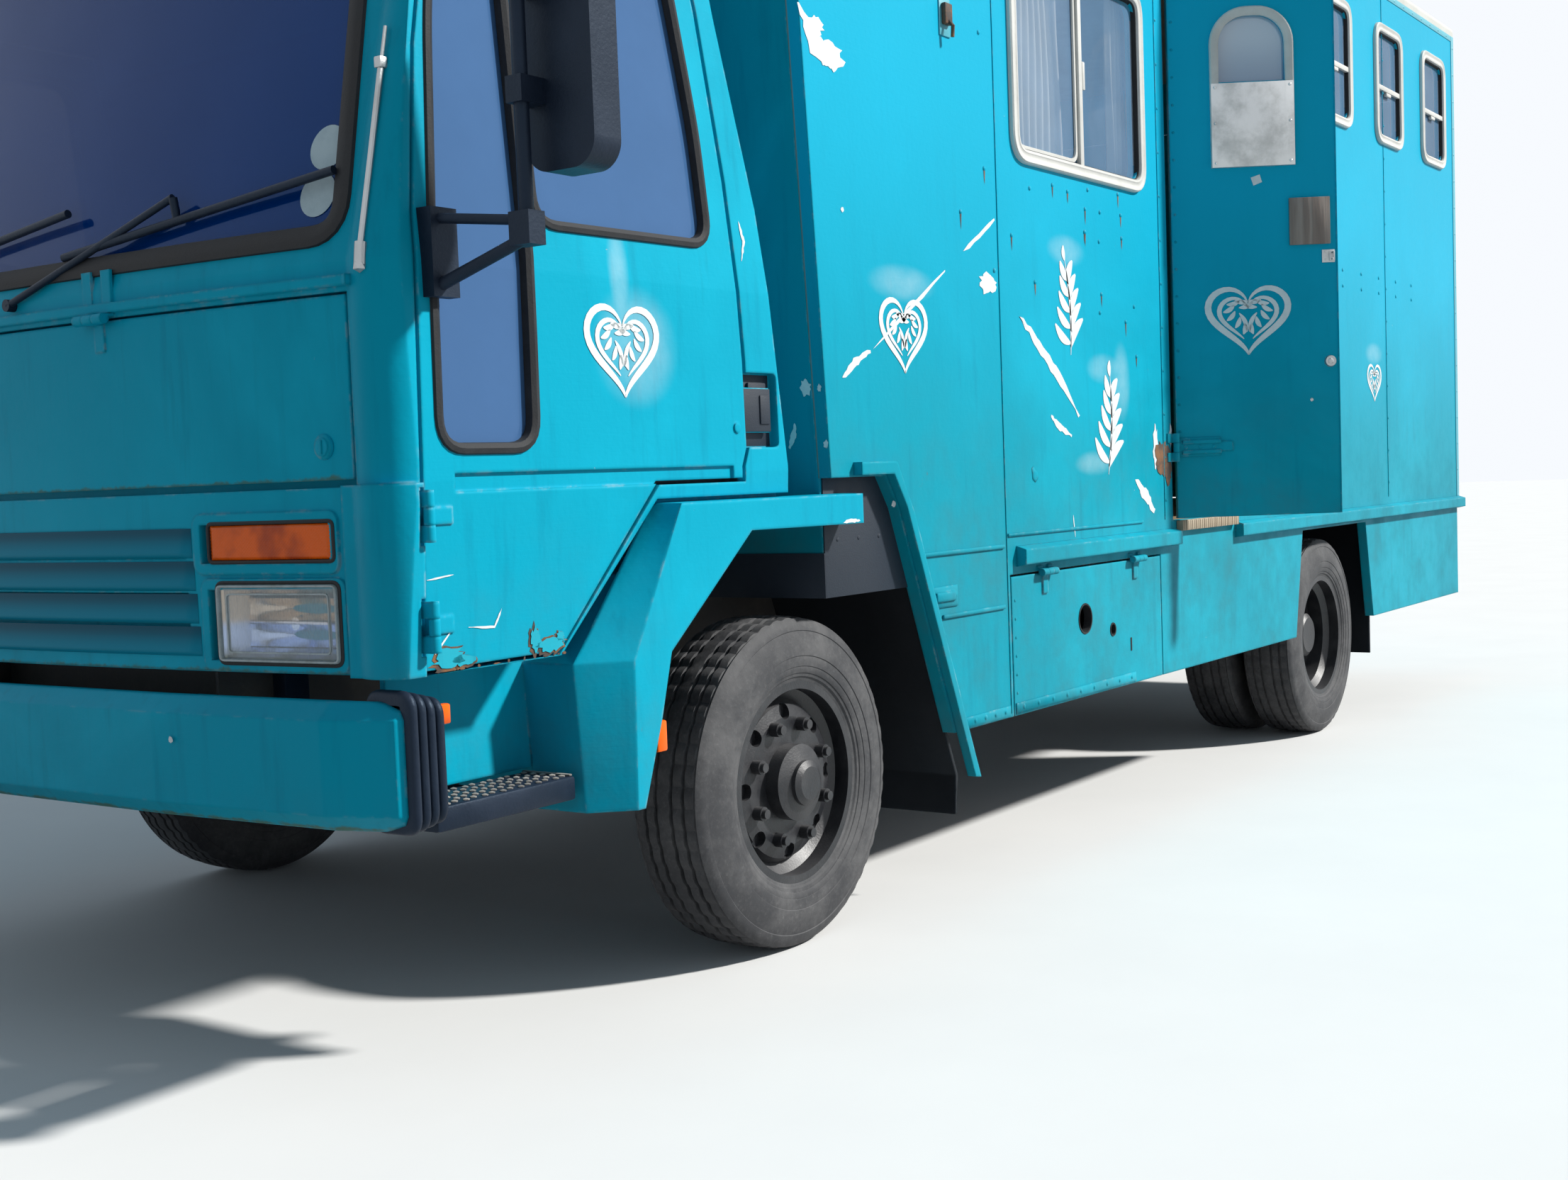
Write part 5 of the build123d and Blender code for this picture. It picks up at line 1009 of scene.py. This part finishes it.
# Threshold under the side doorway: a strip of bare plywood with thirty thin ribs across it, screwed to the
# edge of the floor.
wood("bare_plywood", (0.5, 0.42, 0.31), (0.28, 0.215, 0.15), 9.0)
bm = bmesh.new()
bricks(bm, [(-2.52, -2.03, 1.101, 1.1215, 0.866, 0.899, 0.002)])
bricks(bm, [(x, x + 0.006, 1.1205, 1.123, 0.868, 0.897, 0.0008) for x in (-2.514 + 0.0165 * k for k in range(30))])
new_piece("door_threshold", "chassis", "bare_plywood", bm)

# Locker door under the kerb window: a sheet panel with a folded bottom, screws down its edge, and two round
# holes whose raw edges are bound with black strip.
bm = bmesh.new()
bricks(bm, [(-1.69, -0.912, 1.1, 1.103, 0.424, 0.454, 0.001)])
for k in range(9):
    dome(bm, (-0.955 - 0.088 * k, 1.103, 0.44), 0.006, 0.45)
for k in range(6):
    dome(bm, (-0.925, 1.1, 0.48 + 0.05 * k), 0.005, 0.45)
new_piece("locker_door_trim", "locker_door", "body_paint", bm)
BINDING = [(0.003, 0.0), (0.002, 0.0022), (-0.002, 0.0016), (-0.003, -0.022), (0.0, -0.022)]
bm = bmesh.new()
for x, z, r in ((-1.352, 0.644, 0.042), (-1.537, 0.596, 0.018)):
    sweep(bm, ring(x, z, r, 40), BINDING, body_left)
bricks(bm, [(-1.668, -1.66, 1.1, 1.1018, 0.52, 0.56, 0.0005)])
new_piece("locker_hole_edges", "locker_door", "rubber_seal", bm)


# Artwork and wear on the walls: white paint sprayed through cut stencils, heart wreaths and leaf sprigs, and
# scrapes where the paint is gone to its white ground. Each is a thin outline just off the skin.
def blade(path, width):
    """Tapered strip about a bent line, as a closed outline."""
    n = len(path) - 1
    sides = ([], [])
    for i, p in enumerate(path):
        t = (path[min(i + 1, n)] - path[max(i - 1, 0)]).normalized()
        w = width * math.sin(math.pi * (0.04 + 0.92 * i / n)) ** 0.8 / 2
        for way, line in zip((1, -1), sides):
            line.append(p + Vector((-t.y, t.x)) * w * way)
    return sides[0] + sides[1][::-1]


def leaf(base, degrees, length, width):
    angle = math.radians(degrees)
    tip = base + Vector((math.cos(angle), math.sin(angle))) * length
    bend = Vector((-math.sin(angle), math.cos(angle))) * length * 0.1
    return blade([base.lerp(tip, k / 8) + bend * math.sin(math.pi * k / 8) for k in range(9)], width)


def heart(u):
    """Point on a heart's right half, from the dip at the top to the point below."""
    a = math.pi * u
    return Vector((0.5 * math.sin(a) ** 3 * 1.02, (13 * math.cos(a) - 5 * math.cos(2 * a) - 2 * math.cos(3 * a)
                                                    - math.cos(4 * a)) / 34.0))


def wreath():
    """Outlines for a heart of two crescents with leaves, one unit wide."""
    half = [blade([heart(0.1 + 0.86 * k / 24) for k in range(25)], 0.085),
            blade([heart(0.16 + 0.66 * k / 18) * 0.72 + Vector((0.0, -0.02)) for k in range(19)], 0.06)]
    for k in range(7):
        half.append(leaf(heart(0.2 + 0.1 * k) * 0.62 + Vector((0.0, -0.015)), 200 - 17 * k, 0.19 - 0.008 * k, 0.06))
    half.append(leaf(Vector((0.015, -0.2)), 68, 0.26, 0.055))
    return half + [[Vector((-p.x, p.y)) for p in shape] for shape in half]


def sprig():
    """Outlines for a leafy stem one unit high."""
    stem = [Vector((0.06 * math.sin(3.0 * k / 12), -0.5 + k / 12)) for k in range(13)]
    shapes = [blade(stem, 0.035)]
    for k in range(5):
        p = stem[1 + 2 * k]
        size = 0.44 - 0.04 * k
        shapes.append(leaf(p, 40 + 5 * k, size, 0.12))
        shapes.append(leaf(p + Vector((0, 0.04)), 146 - 5 * k, size * 0.92, 0.112))
    return shapes + [leaf(stem[-1], 95, 0.16, 0.08)]


def stencil(bm, shapes, cx, cz, size, put, lean=0.0):
    c = math.cos(lean) * size
    s = math.sin(lean) * size
    for shape in shapes:
        fill_loop(bm, [Vector((cx - (p.x * c - p.y * s), cz + p.x * s + p.y * c)) for p in shape], put, 0.0012)


def streak(points, width, seed):
    """Ragged scrape along a line."""
    rnd = random.Random(seed)
    points = [Vector(p) for p in points]
    path = [a.lerp(b, k / 6) for a, b in zip(points, points[1:]) for k in range(6)] + points[-1:]
    return [p + Vector((rnd.uniform(-1, 1), rnd.uniform(-1, 1))) * width * 0.16 for p in blade(path, width)]


# line, width
SCRAPES = [([(-0.118, 1.306), (-0.171, 1.343), (-0.24, 1.371)], 0.02), ([(-0.25, 1.376), (-0.603, 1.585)], 0.011),
           ([(-0.7, 1.64), (-0.871, 1.737)], 0.014),
           ([(-0.997, 1.493), (-1.107, 1.419), (-1.222, 1.336), (-1.345, 1.228)], 0.03),
           ([(-1.167, 1.227), (-1.223, 1.194), (-1.296, 1.17)], 0.02),
           ([(-1.724, 1.036), (-1.791, 0.991), (-1.859, 0.935)], 0.034),
           ([(0.005, 2.125), (-0.05, 2.045), (-0.135, 2.01)], 0.05), ([(-1.29, 0.945), (-1.3, 0.882)], 0.006)]
# x, z, half width, half height
PATCHES = [(-0.822, 1.567, 0.042, 0.026), (-0.115, 2.035, 0.052, 0.03), (-0.055, 2.09, 0.03, 0.022),
           (-1.88, 1.135, 0.018, 0.06), (-2.0, 1.17, 0.01, 0.035), (-0.32, 1.01, 0.01, 0.007),
           (-0.14, 1.69, 0.006, 0.006)]
DOOR_SCRAPES = [([(1.165, 0.8), (1.12, 0.845)], 0.004), ([(1.085, 0.84), (1.02, 0.835), (1.0, 0.868)], 0.005),
                ([(1.183, 0.93), (1.119, 0.936)], 0.004)]
dusty("white_print", (0.78, 0.8, 0.8), (0.3, 0.5, 0.55), 0.55, 0.35, scale=40.0)
bm = bmesh.new()
stencil(bm, wreath(), -0.395, 1.425, 0.205, body_left)
stencil(bm, sprig(), -1.29, 1.53, 0.265, body_left, 0.1)
stencil(bm, sprig(), -1.545, 1.2, 0.29, body_left, -0.08)
stencil(bm, wreath(), -4.13, 1.39, 0.175, body_left)
for i, (points, width) in enumerate(SCRAPES):
    fill_loop(bm, streak(points, width, i), body_left, 0.001)
for i, (x, z, rx, rz) in enumerate(PATCHES):
    fill_loop(bm, blot(x, z, rx, rz, 0.3, 40 + i), body_left, 0.0011)
new_piece("body_stencils_and_scrapes", "chassis", "white_print", bm)
for side, s, on_cab in CAB_SIDES:
    bm = bmesh.new()
    stencil(bm, wreath(), 0.641, 1.352, 0.205, on_cab)
    if side == "left":
        for i, (points, width) in enumerate(DOOR_SCRAPES):
            fill_loop(bm, streak(points, width, 70 + i), on_cab, 0.0012)
    new_piece("cab_door_stencil_" + side, "cab_door_" + side, "white_print", bm)


# Chips on the box's front corner, the pillar, the wing's lip and the bumper, and the torn, rusted hole in the
# sheet beside the living door's foot.
def box_front(y, z, h):
    return Vector((-0.066 + (z - 0.9) * 0.0597 + h, y, z))


bm = bmesh.new()
for y, z, r in ((1.047, 1.286, 0.02), (1.085, 1.282, 0.008), (1.093, 1.155, 0.009)):
    fill_loop(bm, blot(y, z, r * 0.7, r, 0.32, int(z * 1000)), box_front, 0.0012)
fill_loop(bm, streak([(0.99, 1.15), (1.003, 1.171), (1.012, 1.205)], 0.014, 81), box_front, 0.0012)
fill_loop(bm, streak([(0.228, 1.632), (0.216, 1.59), (0.23, 1.547)], 0.008, 82), cab_left, 0.0012)
fill_loop(bm, streak([(-0.045, 0.9775), (-0.08, 0.979), (-0.114, 0.9785)], 0.009, 86),
          lambda x, z, h: Vector((x, 1.1366, z)))
fill_loop(bm, blot(0.558, 0.648, 0.0065, 0.006, 0.2, 83), lambda y, z, h: Vector((1.338, y, z)))
new_piece("front_corner_chips", "chassis", "white_print", bm)
bm = bmesh.new()
fill_loop(bm, blot(-1.935, 1.105, 0.055, 0.05, 0.35, 5), body_left, 0.0016)
fill_loop(bm, blot(-1.975, 1.06, 0.022, 0.045, 0.3, 6), body_left, 0.0017)
fill_loop(bm, blot(-1.352, 0.645, 0.0005, 0.0005, 0.1, 7), body_left, 0.0001)
new_piece("torn_patch", "chassis", "rusty_steel", bm)


# Living door: a sheet-faced door on two strap hinges, with an arched window over a sheet-metal plate, a bare
# board, a hasp and a lock. It is drawn shut in its doorway, then turned open with the door, as it stands.
def arch_loop(x0, x1, z0, z1, r):
    """Closed outline with a flat foot and rounded shoulders."""
    turns = [k * math.pi / 20 for k in range(11)]
    return ([Vector((x0, z0)), Vector((x1, z0))]
            + [Vector((x1 - r + r * math.cos(a), z1 - r + r * math.sin(a))) for a in turns]
            + [Vector((x0 + r - r * math.sin(a), z1 - r + r * math.cos(a))) for a in turns])


HINGE = Vector((-2.009, 1.116, 0.0))
OPEN = Matrix.Translation(HINGE) @ Matrix.Rotation(math.radians(-57.0), 4, "Z") @ Matrix.Translation(-HINGE)
ARCH_SECTION = [(0.0022, 0.0), (0.0022, 0.008), (-0.002, 0.011), (-0.022, 0.011), (-0.0262, 0.0085),
                (-0.0262, 0.0)]
sheet = Mat("aluminium", (0.52, 0.535, 0.54), 0.42, 0.85)
rub = sheet.stretch(30.0, 30.0, 2.0).noise(3.0, 4)
blotch = sheet.noise(9.0, 6, 0.65).step(0.4, 0.7)
sheet.set(Base_Color=sheet.blend((0.56, 0.575, 0.58), (0.3, 0.305, 0.3), blotch * 0.6),
          Roughness=0.34 + rub * 0.18 + blotch * 0.15)
sheet.bump(rub + sheet.noise(140.0, 2) * 0.5, 0.0004, 0.5)
# The pane is drawn opaque and blue-grey, lighter toward its top: a painted sky reflection.
backed = Mat("backed_pane", (0.3, 0.42, 0.55), 0.06, Coat_Weight=0.6, Specular_IOR_Level=0.8)
backed.set(Base_Color=backed.blend((0.26, 0.37, 0.5), (0.48, 0.58, 0.68), (backed.z - 2.26).step(0.02, 0.16)),
           Roughness=0.05 + backed.noise(5.0, 4) * 0.08)
bm = bmesh.new()
sweep(bm, arch_loop(-2.398, -2.142, 2.0, 2.49, 0.112), ARCH_SECTION, body_left)
new_piece("living_door_window_frame", "living_door", "white_frame", bm, turn=OPEN)
bm = bmesh.new()
fill_loop(bm, arch_loop(-2.3735, -2.1665, 2.26, 2.4655, 0.088), body_left, -0.0125)
new_piece("living_door_pane", "living_door", "backed_pane", bm, turn=OPEN)
bm = bmesh.new()
bricks(bm, [(-2.3985, -2.1415, 1.1058, 1.113, 1.9985, 2.258, 0.0008)])
for x in (-2.386, -2.154):
    for z in (2.012, 2.135, 2.246):
        dome(bm, (x, 1.113, z), 0.005, level=2)
new_piece("living_door_plate", "living_door", "aluminium", bm, turn=OPEN)
bm = bmesh.new()
bricks(bm, [(-2.504, -2.378, 1.1, 1.109, 1.75, 1.896, 0.0015)])
new_piece("living_door_board", "living_door", "plank_wood", bm, turn=OPEN)
bm = bmesh.new()
bricks(bm, [(-2.518, -2.478, 1.1, 1.1035, 1.692, 1.732, 0.001),
            (-2.518, -2.5, 1.1035, 1.106, 1.697, 1.727, 0.001)])
tube(bm, [(-2.508, y, z) for y, z in ((1.106, 1.722), (1.12, 1.722), (1.12, 1.702), (1.106, 1.702))], 0.0028, 8)
for x in (-2.488, -2.511):
    for z in (1.7, 1.724):
        dome(bm, (x, 1.1035, z), 0.0035)
disc(bm, (-2.499, 1.104, 1.384), 0.019, 0.016, 0.01, 24, "X")
dome(bm, (-2.499, 1.109, 1.384), 0.01)
dome(bm, (-2.439, 1.1, 1.265), 0.006)
new_piece("living_door_hasp_and_lock", "living_door", "galvanised", bm, turn=OPEN)
bm = bmesh.new()
for z in (1.13, 2.61):
    bricks(bm, [(-2.15, -2.016, 1.1, 1.1045, z - 0.03, z + 0.03, 0.001)])
    bricks(bm, [(-2.152, -2.03, 1.104, 1.111, z + k - 0.006, z + k + 0.006, 0.002) for k in (-0.016, 0.016)])
    for x in (-2.13, -2.085, -2.04):
        dome(bm, (x, 1.1045, z), 0.0075, 0.6)
for k in range(16):
    dome(bm, (-2.024, 1.1, 1.18 + 0.085 * k), 0.005, 0.45)
bricks(bm, [(-2.5265, -2.5235, 1.099, 1.102, 0.91, 2.756, 0.0)])
new_piece("living_door_straps", "living_door", "body_paint", bm, turn=OPEN)
bm = bmesh.new()
stencil(bm, wreath(), -2.245, 1.535, 0.245, body_left)
PAINT_SPOT = ((-2.262, 1.965), (-2.29, 1.974), (-2.297, 1.95), (-2.27, 1.94))
fill_loop(bm, [Vector(p) for p in PAINT_SPOT], body_left, 0.001)
new_piece("living_door_stencil", "living_door", "white_print", bm, turn=OPEN)
bm = bmesh.new()
bricks(bm, [(-2.505, -2.035, 1.0635, 1.0645, 0.93, 1.98, 0.0004)])
new_piece("living_door_lining", "living_door", "lining_board", bm, turn=OPEN)

# Rear ramp: sheet on pressed ribs, shut upright. The catches at its top corners and the two lifting handles
# below them are bent steel bar with a zinc coat.
RAMP_X = -5.4205
bm = bmesh.new()
bricks(bm, [(RAMP_X, -5.43, -0.945, 0.945, z - 0.02, z + 0.02, 0.002) for z in (0.93, 1.5, 2.07, 2.715)])
bricks(bm, [(RAMP_X, -5.4285, y - 0.016, y + 0.016, 0.925, 2.72, 0.002) for y in (-0.94, -0.47, 0.0, 0.47, 0.94)])
new_piece("ramp_ribs", "rear_ramp", "body_paint", bm)
CATCH = [(-5.428, 0.928, 2.655), (-5.438, 0.928, 2.65), (-5.439, 0.928, 2.585), (-5.437, 0.922, 2.56)]
HANDLE = [(-5.426, 0.56, 1.29), (-5.439, 0.56, 1.3), (-5.439, 0.56, 1.4), (-5.426, 0.56, 1.41)]
bm = bmesh.new()
for s in (1, -1):
    bricks(bm, [(-5.43, -5.434, 0.905, 0.95, 2.56, 2.69, 0.0015)], s)
    for line in (CATCH, HANDLE):
        tube(bm, [(x, s * y, z) for x, y, z in line], 0.006)
new_piece("ramp_catches", "rear_ramp", "galvanised", bm)


# Stage for the picture: a matt pale floor, a sun that stands behind and to the left, and a weak sky. The floor
# looks pale to the camera but sends back little light, so it doesn't brighten the underside.
def lamp(name, kind, energy, place, aim, size, colour):
    data = bpy.data.lights.new(name, kind)
    data.energy = energy
    data.color = colour
    setattr(data, "angle" if kind == "SUN" else "size", size)
    obj = bpy.data.objects.new(name, data)
    obj.location = Vector(place)
    obj.rotation_euler = (Vector(aim) - Vector(place)).to_track_quat("-Z", "Y").to_euler()
    scene.collection.objects.link(obj)


lamp("key_sun", "SUN", 5.2, (-6.2, 8.2, 8.5), (0, 0, 0.8), math.radians(4.0), (1.0, 0.98, 0.94))
lamp("fill_front", "AREA", 7.0, (9.0, 2.0, 5.0), (1.5, 0, 1.2), 5.0, (0.86, 0.94, 1.0))

ground = Mat("floor_matt", (0.78, 0.78, 0.77), 0.9)
seen = ground.node("ShaderNodeLightPath", pick=0).most(ground.node("ShaderNodeLightPath", pick=3))
pale = ground.blend((0.78, 0.78, 0.77), (0.72, 0.72, 0.715), ground.noise(2.0, 5))
ground.set(Base_Color=ground.blend((0.3, 0.3, 0.3), pale, seen))
bm = bmesh.new()
bmesh.ops.create_grid(bm, x_segments=2, y_segments=2, size=60.0)
floor = bpy.data.objects.new("floor", bpy.data.meshes.new("floor"))
bm.to_mesh(floor.data)
bm.free()
scene.collection.objects.link(floor)
floor.data.materials.append(MATS["floor_matt"])

world = bpy.data.worlds.new("world")
scene.world = world
world.use_nodes = True
air = world.node_tree
background = air.nodes["Background"]
rays = air.nodes.new("ShaderNodeLightPath").outputs
seen, glossy, passing = (Sock(air, rays["Is " + kind + " Ray"]) for kind in ("Camera", "Glossy", "Transmission"))
seen = seen.most(glossy).most(passing)
air.links.new(seen.blend((0.66, 0.84, 1.0), (0.93, 0.96, 1.0), seen).out, background.inputs["Color"])
air.links.new((0.34 + seen * 0.66).out, background.inputs["Strength"])
